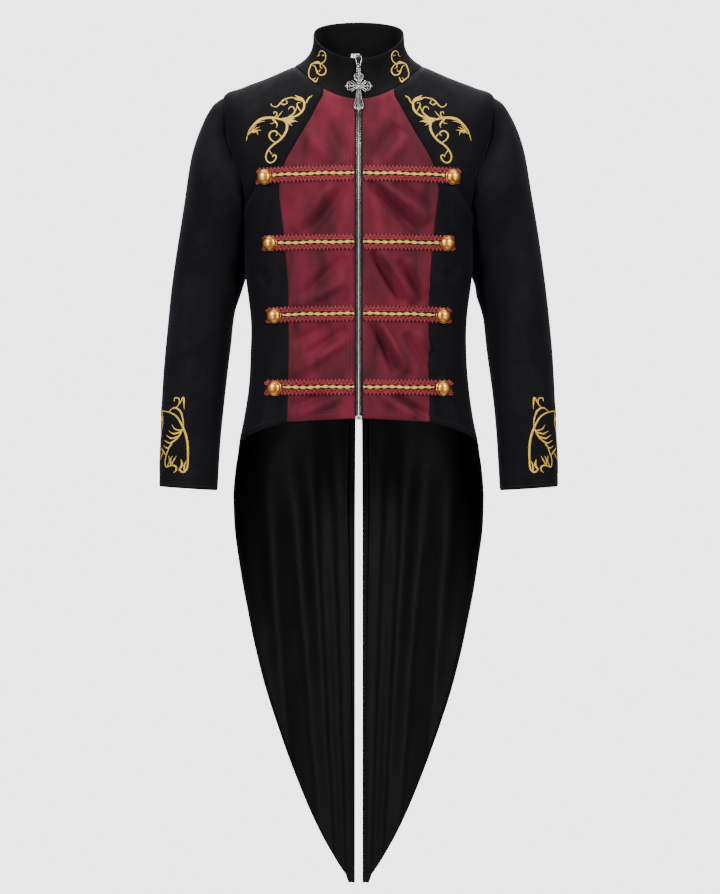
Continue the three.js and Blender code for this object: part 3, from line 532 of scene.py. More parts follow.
# Meshes: a part is its points, its four-sided faces, its end faces and its points' map coordinates
def grid_quads(rows, columns, ring=False):
    spans = columns if ring else columns - 1
    r, c = np.meshgrid(np.arange(rows - 1), np.arange(spans), indexing="ij")
    r, c = r.ravel(), c.ravel()
    after = (c + 1) % columns
    return np.stack([r * columns + c, r * columns + after, (r + 1) * columns + after,
                     (r + 1) * columns + c], axis=1)


def shell(outer, inner, ring=False):
    """A closed wall between two grids of points."""
    rows, columns = outer.shape[:2]
    count = rows * columns
    face = grid_quads(rows, columns, ring)
    index = np.arange(count).reshape(rows, columns)
    edges = [index[0], index[-1]]
    if ring:
        edges = [np.append(edge, edge[0]) for edge in edges]
    else:
        edges += [index[:, 0], index[:, -1]]
    walls = [np.stack([e[:-1], e[1:], e[1:] + count, e[:-1] + count], axis=1) for e in edges]
    u, v = np.meshgrid(np.linspace(0, 1, rows), np.linspace(0, 1, columns), indexing="ij")
    uv = np.tile(np.stack([u, v], axis=-1).reshape(-1, 2), (2, 1))
    points = np.vstack([outer.reshape(-1, 3), inner.reshape(-1, 3)])
    return points, np.vstack([face, face[:, ::-1] + count] + walls), [], uv


def sweep(path, half_width, half_height, up, sides=8, closed=False, twist=0.0, flutes=0):
    """A bar along a path. Its section is an ellipse whose height lies along up; flutes cut strands."""
    path = np.asarray(path, float)
    count = len(path)
    if closed:
        tangent = unit(np.roll(path, -1, axis=0) - np.roll(path, 1, axis=0))
    else:
        tangent = unit(np.gradient(path, axis=0))
    side = unit(np.cross(tangent, np.broadcast_to(up, path.shape)))
    height = np.cross(side, tangent)
    length = np.concatenate([[0], np.cumsum(np.linalg.norm(np.diff(path, axis=0), axis=1))])
    turn = np.linspace(0, tau, sides, endpoint=False)[None, :]
    wide = np.broadcast_to(half_width, (count,))[:, None] * np.cos(turn)
    high = np.broadcast_to(half_height, (count,))[:, None] * np.sin(turn)
    if flutes:
        strand = 1 - 0.16 * np.abs(np.sin(flutes / 2 * (turn - twist * length[:, None])))
        wide, high = wide * strand, high * strand
    ring = path[:, None] + wide[..., None] * side[:, None] + high[..., None] * height[:, None]
    points = ring.reshape(-1, 3)
    uv = np.stack([np.repeat(length, sides), np.tile(turn[0] / tau, count)], axis=1)
    rows = count + 1 if closed else count
    quads = grid_quads(rows, sides, True) % len(points)
    ends = [] if closed else [list(range(sides)), list(range(len(points) - sides, len(points)))]
    return points, quads, ends, uv


def joined(parts):
    points, quads, ends, maps, offset = [], [], [], [], 0
    for part_points, part_quads, part_ends, part_map in parts:
        points.append(part_points)
        quads.append(part_quads + offset)
        ends += [[i + offset for i in end] for end in part_ends]
        maps.append(part_map)
        offset += len(part_points)
    return np.vstack(points), np.vstack(quads), ends, np.vstack(maps)


def placed(part, matrix, origin):
    points, quads, ends, uv = part
    return points @ matrix.T + origin, quads, ends, uv


def piece(name, part, material, replaces=(), body="coat", sharp=None):
    points, quads, ends, uv = part
    mesh = bpy.data.meshes.new(name)
    mesh.from_pydata((points * MM).tolist(), [], quads.tolist() + ends)
    work = bmesh.new()
    work.from_mesh(mesh)
    bmesh.ops.recalc_face_normals(work, faces=work.faces)
    work.to_mesh(mesh)
    work.free()
    corners = np.zeros(len(mesh.loops), np.int32)
    mesh.loops.foreach_get("vertex_index", corners)
    layer = mesh.uv_layers.new(name="UVMap")
    layer.data.foreach_set("uv", (uv[corners] * [MM, 1]).ravel().astype(np.float32))
    mesh.shade_smooth()
    if sharp:
        mesh.set_sharp_from_angle(angle=radians(sharp))
    mesh.materials.append(material)
    made = bpy.data.objects.new(name, mesh)
    bpy.context.scene.collection.objects.link(made)
    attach(made, body)
    if replaces:
        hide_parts(*replaces)
    return made


# Materials
def colour(red, green, blue):
    """Linear colour from the usual 0 to 255 display values."""
    share = np.array([red, green, blue]) / 255
    linear = np.where(share <= 0.04045, share / 12.92, ((share + 0.055) / 1.055) ** 2.4)
    return (*linear.tolist(), 1.0)


def shader_material(name, settings):
    made = bpy.data.materials.new(name)
    made.use_nodes = True
    shader = made.node_tree.nodes["Principled BSDF"]
    for socket, value in settings.items():
        shader.inputs[socket].default_value = value
    return made, shader


def new_node(made, kind, settings=()):
    node = made.node_tree.nodes.new(kind)
    for name, value in dict(settings).items():
        if name in node.inputs:
            node.inputs[name].default_value = value
        else:
            setattr(node, name, value)
    return node


def noise(made, scale, detail=2.0, stretch=(1, 1, 1)):
    links = made.node_tree.links
    place = new_node(made, "ShaderNodeTexCoord")
    mapping = new_node(made, "ShaderNodeMapping", {"Scale": stretch})
    texture = new_node(made, "ShaderNodeTexNoise", {"Scale": scale, "Detail": detail})
    links.new(place.outputs["Object"], mapping.inputs["Vector"])
    links.new(mapping.outputs["Vector"], texture.inputs["Vector"])
    return texture.outputs["Fac"]


def ramp(made, factor, low, high, start=0.35, end=0.65):
    node = new_node(made, "ShaderNodeValToRGB")
    node.color_ramp.elements[0].position = start
    node.color_ramp.elements[1].position = end
    node.color_ramp.elements[0].color = low
    node.color_ramp.elements[1].color = high
    made.node_tree.links.new(factor, node.inputs["Fac"])
    return node.outputs["Color"]


def bump(made, shader, height, strength, distance, below=None):
    node = new_node(made, "ShaderNodeBump", {"Strength": strength, "Distance": distance})
    made.node_tree.links.new(height, node.inputs["Height"])
    if below:
        made.node_tree.links.new(below, node.inputs["Normal"])
    made.node_tree.links.new(node.outputs["Normal"], shader.inputs["Normal"])
    return node.outputs["Normal"]


def vary_roughness(made, shader, factor, low, high):
    node = new_node(made, "ShaderNodeMapRange", {"To Min": low, "To Max": high})
    made.node_tree.links.new(factor, node.inputs["Value"])
    made.node_tree.links.new(node.outputs["Result"], shader.inputs["Roughness"])


def velvet(name, dark, light, sheen, tint, gloss):
    made, shader = shader_material(name, {
        "Specular IOR Level": gloss,
        "Sheen Weight": sheen,
        "Sheen Roughness": 0.35,
        "Sheen Tint": tint,
    })
    nap = noise(made, 26, 3, (1, 1, 0.35))
    made.node_tree.links.new(ramp(made, nap, dark, light), shader.inputs["Base Color"])
    vary_roughness(made, shader, noise(made, 60, 2), 0.7, 0.95)
    brushed = bump(made, shader, noise(made, 90, 3, (1, 1, 0.5)), 0.25, 0.0012)
    bump(made, shader, noise(made, 1900, 2), 0.35, 0.00025, brushed)
    return made


def thread(name, dark, light, roughness, metallic, pitch, sheen=0.0):
    """Thread wound or stitched across a piece: fine bands that follow the piece's own length, coloured from
    painted shade in the grooves between wraps to a painted highlight on each wrap.
    """
    made, shader = shader_material(name, {
        "Metallic": metallic,
        "Specular IOR Level": 0.6,
        "Sheen Weight": sheen,
    })
    links = made.node_tree.links
    place = new_node(made, "ShaderNodeTexCoord")
    bands = new_node(made, "ShaderNodeTexWave", {
        "Scale": WAVE_LENGTH / (pitch * MM),
        "Distortion": 0.6,
        "Detail": 1.0,
        "Detail Scale": 2.0,
    })
    bands.bands_direction = "X"
    mapping = new_node(made, "ShaderNodeMapping", {"Scale": (1, 0.0006, 1)})
    links.new(place.outputs["UV"], mapping.inputs["Vector"])
    links.new(mapping.outputs["Vector"], bands.inputs["Vector"])
    # Painted shade and painted highlight: the dark colour fills the grooves between wraps, the light one
    # their crests.
    links.new(ramp(made, bands.outputs["Fac"], dark, light, 0.15, 0.75), shader.inputs["Base Color"])
    vary_roughness(made, shader, noise(made, 400), roughness - 0.08, roughness + 0.12)
    fine = bump(made, shader, noise(made, 2600), 0.2, 0.0002)
    bump(made, shader, bands.outputs["Fac"], 0.5, 0.00025, fine)
    return made


def metal(name, dark, light, roughness, grain, stretch):
    made, shader = shader_material(name, {"Metallic": 1.0})
    # Random darker patches as painted shade meant for the metal's hollows; the noise does not follow the
    # hollows.
    painted_shade_patches = noise(made, 160, 4)
    made.node_tree.links.new(ramp(made, painted_shade_patches, dark, light, 0.3, 0.6), shader.inputs["Base Color"])
    brushed = noise(made, grain, 2, stretch)
    vary_roughness(made, shader, brushed, roughness - 0.07, roughness + 0.1)
    bump(made, shader, brushed, 0.12, 0.0001)
    return made


def woven(name, dark, light, roughness, pitch, gloss=0.5):
    made, shader = shader_material(name, {"Specular IOR Level": gloss})
    tone = noise(made, 22, 3, (1, 1, 0.2))
    made.node_tree.links.new(ramp(made, tone, dark, light), shader.inputs["Base Color"])
    vary_roughness(made, shader, noise(made, 70), roughness - 0.05, roughness + 0.08)
    warp = noise(made, 1 / (pitch * MM), 1, (1, 1, 0.12))
    weft = bump(made, shader, noise(made, 1 / (pitch * MM), 1, (0.12, 0.12, 1)), 0.2, 0.0002)
    bump(made, shader, warp, 0.2, 0.0002, weft)
    return made


BLACK = velvet("black_velvet", colour(6, 5, 8), colour(12, 10, 16), 0.078, (0.5, 0.46, 0.7, 1), 0.16)
COLLAR_BLACK = velvet("collar_velvet", colour(4, 4, 6), colour(9, 8, 11), 0.06, (0.5, 0.47, 0.7, 1), 0.12)
BURGUNDY = velvet("burgundy_velvet", colour(62, 8, 20), colour(110, 20, 42), 0.3, (0.9, 0.26, 0.4, 1), 0.3)
SATIN = woven("black_satin", colour(1, 1, 2), colour(4, 4, 5), 0.42, 0.5, gloss=0.11)
TAPE = woven("zip_tape", colour(12, 12, 14), colour(24, 24, 27), 0.85, 0.7)
LABEL = woven("white_label", colour(250, 250, 249), colour(255, 255, 254), 0.8, 0.5)
# For each thread the first colour is its painted shade and the second its painted highlight.
GIMP = thread("red_gimp", colour(112, 12, 28), colour(184, 32, 52), 0.42, 0.0, 0.55, 0.12)
BACKING = woven("gimp_backing", colour(40, 5, 11), colour(58, 8, 16), 0.8, 0.6)
GOLD_CORD = thread("gold_cord", colour(232, 180, 60), colour(255, 234, 118), 0.34, 0.1, 0.6)
GOLD_THREAD = thread("gold_embroidery", colour(196, 138, 30), colour(255, 222, 90), 0.34, 0.15, 0.45)
BLACK_THREAD = thread("black_thread", colour(14, 13, 17), colour(34, 32, 40), 0.6, 0.0, 0.5)
RED_THREAD = thread("burgundy_thread", colour(70, 14, 22), colour(120, 36, 46), 0.5, 0.0, 0.5)
BRASS = metal("button_brass", colour(214, 132, 46), colour(248, 182, 90), 0.32, 900, (1, 1, 0.1))
SILVER = metal("antique_silver", colour(150, 146, 142), colour(236, 233, 228), 0.26, 700, (1, 1, 1))
DARK_SILVER = metal("slider_silver", colour(46, 43, 42), colour(104, 99, 96), 0.34, 700, (1, 1, 1))
ZIP_SILVER = metal("zip_silver", colour(160, 160, 160), colour(222, 222, 220), 0.26, 700, (1, 1, 1))


# Cloth pieces
def rolled(grid_shape, ring=False):
    """Outward offsets that turn the cloth in at its edges."""
    out = np.zeros(grid_shape)
    for share, row in ((1.0, 0), (0.2, 1)):
        out[row] = np.minimum(out[row], -EDGE_ROLL * share)
        out[-1 - row] = np.minimum(out[-1 - row], -EDGE_ROLL * share)
        if not ring:
            out[:, row] = np.minimum(out[:, row], -EDGE_ROLL * share)
            out[:, -1 - row] = np.minimum(out[:, -1 - row], -EDGE_ROLL * share)
    return out


def drawn_in(cells):
    """Moves the outermost points a little inwards, so that neighbours stay apart."""
    cells = cells.copy()
    cells[0] = mix(cells[0], cells[1], DRAWN_IN)
    cells[-1] = mix(cells[-1], cells[-2], DRAWN_IN)
    cells[:, 0] = mix(cells[:, 0], cells[:, 1], DRAWN_IN)
    cells[:, -1] = mix(cells[:, -1], cells[:, -2], DRAWN_IN)
    return cells


def cloth(node, cells, side, out, thickness, material):
    cells = drawn_in(cells)
    roll = rolled(cells.shape[:2])
    outer = cloth_point(cells, out + roll, side)
    inner = cloth_point(cells, out - thickness - INNER_ROLL * roll, side)
    return piece(f"{node}_cloth", shell(outer, inner), material, [node])


SIDES = ((1, "left"), (-1, "right"))
for side, word in SIDES:
    cloth(
        f"plastron_{word}", plastron_cells, side, 0, CLOTH, BURGUNDY)
    cloth(f"front_{word}", front_cells, side, 0, CLOTH, BLACK)
    cloth(f"back_{word}", back_cells, side, 0, CLOTH, BLACK)
    cloth(
        f"tail_lining_{word}", lining_cells, side, LINING_OUT, LINING, SATIN)


# Sleeves
def ring_point(index, turn):
    """A sleeve's point at a ring, full turns counted from the outside forwards, without the armhole."""
    out_x, out_z, in_x, in_z, front_y, back_y, in_y, _ = np.moveaxis(row_at(SLEEVE_RINGS, index), -1, 0)
    wave, lift = np.cos(tau * turn), np.sin(tau * turn)
    inward = ((1 - wave) / 2) ** 2
    middle = (front_y + back_y) / 2
    return np.stack([
        (out_x + in_x) / 2 + (out_x - in_x) / 2 * wave,
        middle + (front_y - back_y) / 2 * lift + (in_y - middle) * inward,
        (out_z + in_z) / 2 + (out_z - in_z) / 2 * wave,
    ], axis=-1)


armhole_cells = np.vstack([front_armhole, back_armhole[-2:0:-1]])
armhole_turns = np.arange(len(armhole_cells)) / len(armhole_cells)
first_ring = ring_point(np.zeros(len(armhole_cells)), armhole_turns)
residue = {side: cloth_point(armhole_cells, 0, side) * [side, 1, 1] + [SLEEVE_SEAM_GAP, 0, 0] - first_ring
           for side, _ in SIDES}


def sleeve_smooth(index, turn, side):
    share = row_at(SLEEVE_RINGS, index)[..., 7:]
    wrapped = np.mod(turn, 1) * len(first_ring)
    low = np.floor(wrapped).astype(int) % len(first_ring)
    blend = (wrapped - np.floor(wrapped))[..., None]
    shape = mix(residue[side][low], residue[side][(low + 1) % len(first_ring)], blend)
    return ring_point(index, turn) + shape * share


def sleeve_relief(index, turn, side):
    lift = np.zeros(np.broadcast(index, turn).shape)
    for ring0, turn0, ring1, turn1, half, depth in SLEEVE_FOLDS:
        dr, dt = ring1 - ring0, (turn1 - turn0 + SLEEVE_FOLD_SLANT * side) * SLEEVE_TURN
        away_turn = (np.mod(turn - turn0 + 0.5, 1) - 0.5) * SLEEVE_TURN
        along = np.clip(((index - ring0) * dr + away_turn * dt) / (dr * dr + dt * dt), 0, 1)
        away = np.hypot(index - ring0 - along * dr, away_turn - along * dt) / half
        lift += depth * np.exp(-away * away) * np.sqrt(4 * along * (1 - along))
    away_inside = np.mod(turn, 1) - 0.5
    wave = np.sin(1.9 * index + 2 * np.sin(tau * turn) + side) * np.cos(tau * turn * 2 + 0.8 * index)
    inner = np.exp(-(away_inside / 0.12) ** 2) * smoothstep(6, 4, index)
    return (lift + RIPPLE * wave) * smoothstep(0.3, 1.2, index) * (1 - inner)


def sleeve_point(index, turn, out, side=1):
    index, turn = np.broadcast_arrays(np.asarray(index, float), turn)
    normal = surface_normal(lambda ring, around: sleeve_smooth(ring, around, side), index, turn, 0.01)
    moved = sleeve_smooth(index, turn, side) + normal * (out + sleeve_relief(index, turn, side))[..., None]
    return moved * [side, 1, 1]


def tucked(out, side):
    """The sleeve's seam allowance, which runs in under the edges of the panels."""
    return (cloth_point(armhole_cells, out - CLOTH - 0.6, side) - [side * SEAM_ALLOWANCE, 0, 0])[None]


rings = np.linspace(0, LAST_RING, SLEEVE_ROWS_PER_RING * LAST_RING + 1)[:, None]
for side, word in SIDES:
    roll = rolled((len(rings), len(first_ring)), True)
    roll[:2] = 0
    outer = sleeve_point(rings, armhole_turns[None], roll, side)
    inner = sleeve_point(rings, armhole_turns[None], -CLOTH - INNER_ROLL * roll, side)
    piece(
        f"sleeve_{word}_cloth",
        shell(np.vstack([tucked(0, side), outer]), np.vstack([tucked(-1.5, side), inner]), True),
        BLACK, [f"sleeve_{word}"])


# Stand collar, open at centre front
def rim_point(angle):
    rim = around(angle, RIM_HALF_WIDTH, RIM_REACH, RIM_HEIGHT)
    turn = np.cos(angle)
    ahead = turn > 0
    share = np.abs(turn) ** np.where(ahead, *RIM_CURVE)
    rim[..., 2] = mix(RIM_HEIGHT[1], np.where(ahead, RIM_HEIGHT[0], RIM_HEIGHT[2]), share)
    return rim


def collar_point(angle, height):
    seam = body_point(angle, np.zeros_like(angle))
    rim = rim_point(angle)
    inward = 1 - (1 - height) ** COLLAR_ROLL
    return mix(seam, rim, np.stack([inward, inward, height], axis=-1))


def collar_out(angle, height, out, side=1):
    """A point of the collar moved out from its face, above the neck seam."""
    angle, height = np.broadcast_arrays(np.asarray(angle, float), np.asarray(height, float))
    up = np.clip(height, 0, 1)
    normal = -surface_normal(collar_point, angle, up.clip(0.02, 0.98))
    seam_normal = surface_normal(body_point, angle, np.zeros_like(angle))
    normal = unit(mix(seam_normal, normal, smoothstep(0, 0.25, up)[..., None]))
    return (collar_point(angle, up) + normal * np.asarray(out)[..., None]) * [side, 1, 1]


def collar_relief(angle, height):
    crease_angle, crease_width, crease_depth = COLLAR_CREASE
    crease = crease_depth * np.exp(-((angle - crease_angle) / crease_width) ** 2)
    soft = RIPPLE * np.sin(5 * angle + 2)
    return (crease + soft) * np.sin(pi * height) * smoothstep(0.1, 0.3, angle)


half_angles = np.concatenate([plastron_top[:, 0], front_top[1:FRONT_NECK_STEPS, 0], back_neck[::-1, 0]])
collar_heights = np.linspace(0, 1, COLLAR_ROWS + 1)[:, None] ** 1.2


def collar_grid(out, roll_share):
    shape = (len(collar_heights), 2 * len(half_angles) - 1)
    roll = rolled(shape) * roll_share
    angles = np.concatenate([half_angles, half_angles[-2::-1]])
    signs = np.concatenate([-np.ones(len(half_angles)), np.ones(len(half_angles) - 1)])
    lift = out + roll + collar_relief(angles[None], collar_heights)
    points = collar_out(np.broadcast_to(angles, shape), np.broadcast_to(collar_heights, shape), lift)
    return points * np.stack([signs, np.ones_like(signs), np.ones_like(signs)], axis=-1)


collar = piece("collar_cloth", shell(collar_grid(0, 1), collar_grid(-CLOTH, -INNER_ROLL)), COLLAR_BLACK,
               ["collar"])


# Zip: tapes, interlocking teeth and the stop at the hem
def closure_point(x, place, out):
    """A point beside the zip: place runs from 0 at the collar's rim to 1 at the neck and 2 at the hem."""
    x, place = np.broadcast_arrays(np.asarray(x, float), np.asarray(place, float))
    on_collar = collar_out(np.arcsin(x / LEVELS[0, 3]), 1 - np.clip(place, 0, 1), out)
    level = np.clip(place - 1, 0, 1) * hem_level
    angle = np.arcsin(x / row_at(LEVELS, level)[..., 3])
    on_front = cloth_point(np.stack([angle, level], axis=-1), out)
    return np.where((place < 1)[..., None], on_collar, on_front)


hem_level = float(centre_edge[-1, 1])
tape_places = np.concatenate([np.linspace(0, 1, 25)[:-1], np.linspace(1, 2, 120)])[:, None]
tape_x, tape_bead = np.array(TAPE_SECTION).T[:, None]
for side, word in SIDES:
    layers = [closure_point(tape_x, tape_places, out + tape_bead) * [side, 1, 1] for out in TAPE_OUT]
    piece(
        f"zip_tape_{word}_cloth", shell(*layers), TAPE, [f"zip_tape_{word}"])

centre_places = np.linspace(0, 2, CHAIN_SAMPLES)
centre_line = closure_point(0.0, centre_places, 0.0)
centre_line = centre_line[centre_line[:, 2] > CHAIN_END_Z]
chain_length = np.concatenate([[0], np.cumsum(np.linalg.norm(np.diff(centre_line, axis=0), axis=1))])
teeth_at = np.arange(2.0, chain_length[-1] - 1, TOOTH_PITCH)
tooth_centres = np.stack([np.interp(teeth_at, chain_length, centre_line[:, k]) for k in range(3)], axis=1)
tooth_down = unit(np.gradient(tooth_centres, axis=0))
tooth_out = np.cross(tooth_down, [1, 0, 0]) * -1
tooth_across, tooth_half_width, tooth_half_height = np.array(TOOTH).T
teeth = []
for i, (centre, normal) in enumerate(zip(tooth_centres, tooth_out)):
    normal = normal if normal[1] < 0 else -normal
    hand = 1 if i % 2 else -1
    across = np.array([hand, 0, 0])
    path = [centre + across * x - normal * TOOTH_IN for x in tooth_across]
    teeth.append(sweep(path, tooth_half_width, tooth_half_height, normal, 6))
piece("zip_teeth", joined(teeth), ZIP_SILVER, ["zip_chain"], sharp=35)

stop_centre = cloth_point(locate(0.0, STOP_Z), -0.5)
stop_levels = [(-3.0, 4.6), (-2.4, 5.5), (2.4, 5.5), (3.0, 4.6)]
stop_path = [stop_centre + [0, 0, dz] for dz, _ in stop_levels]
stop = sweep(stop_path, [w for _, w in stop_levels], [1.2, 1.7, 1.7, 1.2], (0, -1, 0), 12)
piece("zip_stop_block", stop, ZIP_SILVER, ["zip_stop"], sharp=35)


# Braids with looped edges, and twisted gold cords along their middles
def on_front(x, z, out, side=1):
    return cloth_point(locate(x, z), out, side)


def front_normals(path):
    return unit(np.stack([path[:, 0] * FRONT_CURVE, -np.ones(len(path)), np.zeros(len(path))], axis=1))


def braid_height(row, x):
    z, button_x, _, rise = row
    return z + rise * (1 - x / button_x)


def loops(row, side, edge):
    """Two interlocking rows of curls, with their heads to the outside and to the inside."""
    end = row[1] + BRAID_PAST_BUTTON
    count = round((end - BRAID_START_X - 2 * LOOP_CURL) / LOOP_PITCH)
    phase = np.linspace(-pi, tau * count + pi, count * 16)
    along = mix(BRAID_START_X + LOOP_CURL, end - LOOP_CURL, (phase + pi) / (phase[-1] + pi))
    wobble = LOOP_WOBBLE * np.sin(phase * 0.37 + edge)
    made = []
    for centre, height in LOOP_ROWS:
        shift = 0 if height > 0 else pi
        x = along - LOOP_CURL * np.sin(phase + shift)
        across = edge * (centre + (height + wobble) * np.cos(phase + shift))
        out = LOOP_OUT + LOOP_LIFT * np.sin(phase + shift)
        path = on_front(x, braid_height(row, x) + across, out, side)
        made.append(sweep(path, LOOP_THREAD, LOOP_THREAD, front_normals(path), 7))
    return joined(made)


def corner(row, side, edge):
    """The braid's cut end, turned back to a small point beyond the button."""
    end = row[1] + BRAID_PAST_BUTTON
    turn = np.linspace(0, CORNER_TURNS * tau, CORNER_STEPS)
    x = end - CORNER_INSET - CORNER_HALF_WIDTH * np.cos(turn)
    height = CORNER_HALF_HEIGHT * np.linspace(1, 0.5, CORNER_STEPS)
    across = edge * (CORNER_CENTRE + height * np.sin(turn))
    path = on_front(x, row[2] + across, np.linspace(*CORNER_OUT, CORNER_STEPS), side)
    return sweep(path, CORNER_THREAD, CORNER_THREAD, front_normals(path), 7)


def border(row, side, edge):
    x = np.linspace(BRAID_START_X, row[1] + BRAID_PAST_BUTTON - 2, 150)
    across = edge * (BORDER_CENTRE + BORDER_WAVE * np.cos(tau * 2 * x / CORD_TURN + 0.5))
    path = on_front(x, braid_height(row, x) + across, BORDER_OUT, side)
    return sweep(path, BORDER_THREAD, BORDER_THREAD, front_normals(path), 7)


def backing(row, side):
    x = np.linspace(BRAID_START_X, row[1] + BRAID_PAST_BUTTON - 1, 60)[:, None]
    across = np.linspace(-BACKING_HALF_WIDTH, BACKING_HALF_WIDTH, 12)[None]
    z = braid_height(row, x) + across
    x = np.broadcast_to(x, z.shape)
    return shell(*[on_front(x, z, out, side) for out in BACKING_OUT])


def plies(row, side):
    x = np.linspace(BRAID_START_X, row[1] - BRAID_PAST_BUTTON, 170)
    made = []
    for start in (0, pi):
        turn = tau * x / CORD_TURN + start
        z = braid_height(row, x) + CORD_SPREAD * np.sin(turn) + CORD_WAVE * np.sin(x / 9 + row[0])
        path = on_front(x, z, CORD_OUT + CORD_SPREAD * np.cos(turn), side)
        ply = mix(*CORD_PLY, np.sin(turn) ** 2)
        made.append(sweep(path, ply, ply, front_normals(path), 20, twist=PLY_TWIST, flutes=PLY_STRANDS * 2))
    return joined(made)


def button(row, side):
    """A foot with a rolled edge and a dome, from widths and heights as shares of the whole."""
    foot = [(0.90, 0.0), (1.0, 0.07), (1.0, 0.16), (0.95, 0.22), (0.92, 0.24)]
    dome_width, dome_start = foot[-1]
    dome = [(dome_width * cos(a), dome_start + (1 - dome_start) * sin(a))
            for a in np.linspace(0.12, pi / 2 - 0.04, 16)]
    seat = locate(row[1], row[2])
    facing = mix(surface_normal(body_point, seat[0], seat[1]), np.array([0, -1, 0]), BUTTON_FORWARD)
    normal = unit(facing) * [side, 1, 1]
    base = cloth_point(seat, BUTTON_OUT, side)
    widths, heights = np.array(foot + dome).T * [[BUTTON_RADIUS], [BUTTON_HEIGHT]]
    path = base + heights[:, None] * normal
    turn = np.linspace(0, tau, BUTTON_SIDES, endpoint=False)
    first = unit(np.cross(normal, [0, 0, 1.0]))
    second = np.cross(normal, first)
    ring = np.cos(turn)[:, None] * first + np.sin(turn)[:, None] * second
    points = (path[:, None] + widths[:, None, None] * ring[None]).reshape(-1, 3)
    uv = np.stack([np.repeat(heights, BUTTON_SIDES), np.tile(turn / tau, len(heights))], axis=1)
    ends = [list(range(BUTTON_SIDES)), list(range(len(points) - BUTTON_SIDES, len(points)))]
    return points, grid_quads(len(heights), BUTTON_SIDES, True), ends, uv


trims = {1: [], -1: []}
for number, row in enumerate(BRAID_ROWS, 1):
    for side, word in SIDES:
        gimp = joined([make(row, side, edge) for make in (loops, corner, border) for edge in (1, -1)])
        trims[side] += [
            piece(f"braid_{number}_{word}_loops", gimp, GIMP, [f"braid_{number}_{word}"]),
            piece(f"braid_{number}_{word}_backing", backing(row, side), BACKING,
                  [f"braid_{number}_{word}"]),
            piece(f"cord_{number}_{word}_plies", plies(row, side), GOLD_CORD,
                  [f"cord_{number}_{word}"]),
            piece(f"button_{number}_{word}_dome", button(row, side), BRASS,
                  [f"button_{number}_{word}"], sharp=50),
        ]


# Slider, link and cross
def hung(part, pivot, lean):
    """Stands a part drawn in x and height, with its face to the front, leaning by so many degrees."""
    angle = pi / 2 - radians(lean)
    turned = np.array([[1, 0, 0], [0, cos(angle), -sin(angle)], [0, sin(angle), cos(angle)]])
    return placed(part, turned, pivot)


def wire(points, radius, steps, closed=False):
    """A round wire along a smooth line in the part's plane, with one radius or one for each step's end."""
    line = smooth_line(points, steps, closed)
    if closed:
        line = line[:-1]
    path = np.column_stack([line, np.zeros(len(line))])
    return sweep(path, radius, radius, (0, 0, 1), 8, closed)


def tapered_wire(points, start, end, steps):
    return wire(points, np.linspace(start, end, steps + 1), steps)


def ball(x, y, radius, flat=1.0):
    at = np.linspace(-0.97, 0.97, 9)
    path = np.array([[x, y + radius * step, 0] for step in at])
    width = radius * np.sqrt(1 - at * at)
    return sweep(path, width, width * flat, (0, 0, 1), 12)


plate_levels = [(4.5, 3.6), (3.9, 4.4), (0, 4.5), (-3, 4.4), (-6.2, 3.3), (-7, 2.4)]
plate = sweep([(0, y, 1.5) for y, _ in plate_levels], [w for _, w in plate_levels],
              [0.35, 0.6, 0.6, 0.6, 0.6, 0.35], (0, 0, 1), 16)
arch_line = smooth_line([(-0.9, 2.0), (-1.0, 4.0), (0.2, 5.2), (2.4, 5.2), (3.7, 4.0), (3.7, 2.0)], 24)
arch = sweep(np.column_stack([np.zeros(25), arch_line]), 1.4, 0.5, np.column_stack(
    [np.zeros(25), arch_line[:, 0] - 1.4, arch_line[:, 1] - 2.0]), 10)
slider = hung(joined([plate, arch]), RIM_FRONT, 0)
piece("zip_slider_body", slider, DARK_SILVER, ["zip_slider"], sharp=50)

bail = wire([(0, 0), (3.6, -0.1), (4.5, -1.6), (3.9, -6), (2.6, -12.2), (1.4, -14.1), (0, -14.4),
             (-1.4, -14.1), (-2.6, -12.2), (-3.9, -6), (-4.5, -1.6), (-3.6, -0.1)], 0.65, 72, True)
piece("pull_link_wire", hung(bail, LINK_PIVOT, LINK_LEAN), SILVER, ["pull_link"], "link")


def arm(reach, widest, at):
    """One filigree arm that points to +X: an outline, two inner drops, a spine and a tip."""
    tip = reach - 2.4
    outline = [(2.5, 1.0), (mix(2, at, 0.5), widest * 0.46), (at, widest),
               (mix(at, tip, 0.6), widest * 0.84), (tip - 0.4, 1.4)]
    drop = [(at - 6.5, 1.2), (at - 1, widest * 0.72), (at + 1.6, widest * 0.55), (at + 0.5, 1.5)]
    parts = [wire(np.array(outline) * (1, hand), 0.5, 36) for hand in (1, -1)]
    parts += [wire(np.array(drop) * (1, hand), 0.32, 28, True) for hand in (1, -1)]
    parts.append(tapered_wire([(0, 0), (reach * 0.5, 0), (reach - 1.2, 0)], 0.6, 0.45, 30))
    parts.append(wire([(reach - 4.2, 1.7), (reach - 3.4, 0), (reach - 4.2, -1.7)], 0.6, 12))
    parts.append(ball(reach - 1.0, 0, 1.0))
    return joined(parts)


def turned_arm(part, angle):
    c, s = cos(radians(angle)), sin(radians(angle))
    return placed(part, np.array([[c, -s, 0], [s, c, 0], [0, 0, 1]]), np.array([0, CROSS_CENTRE, 0]))


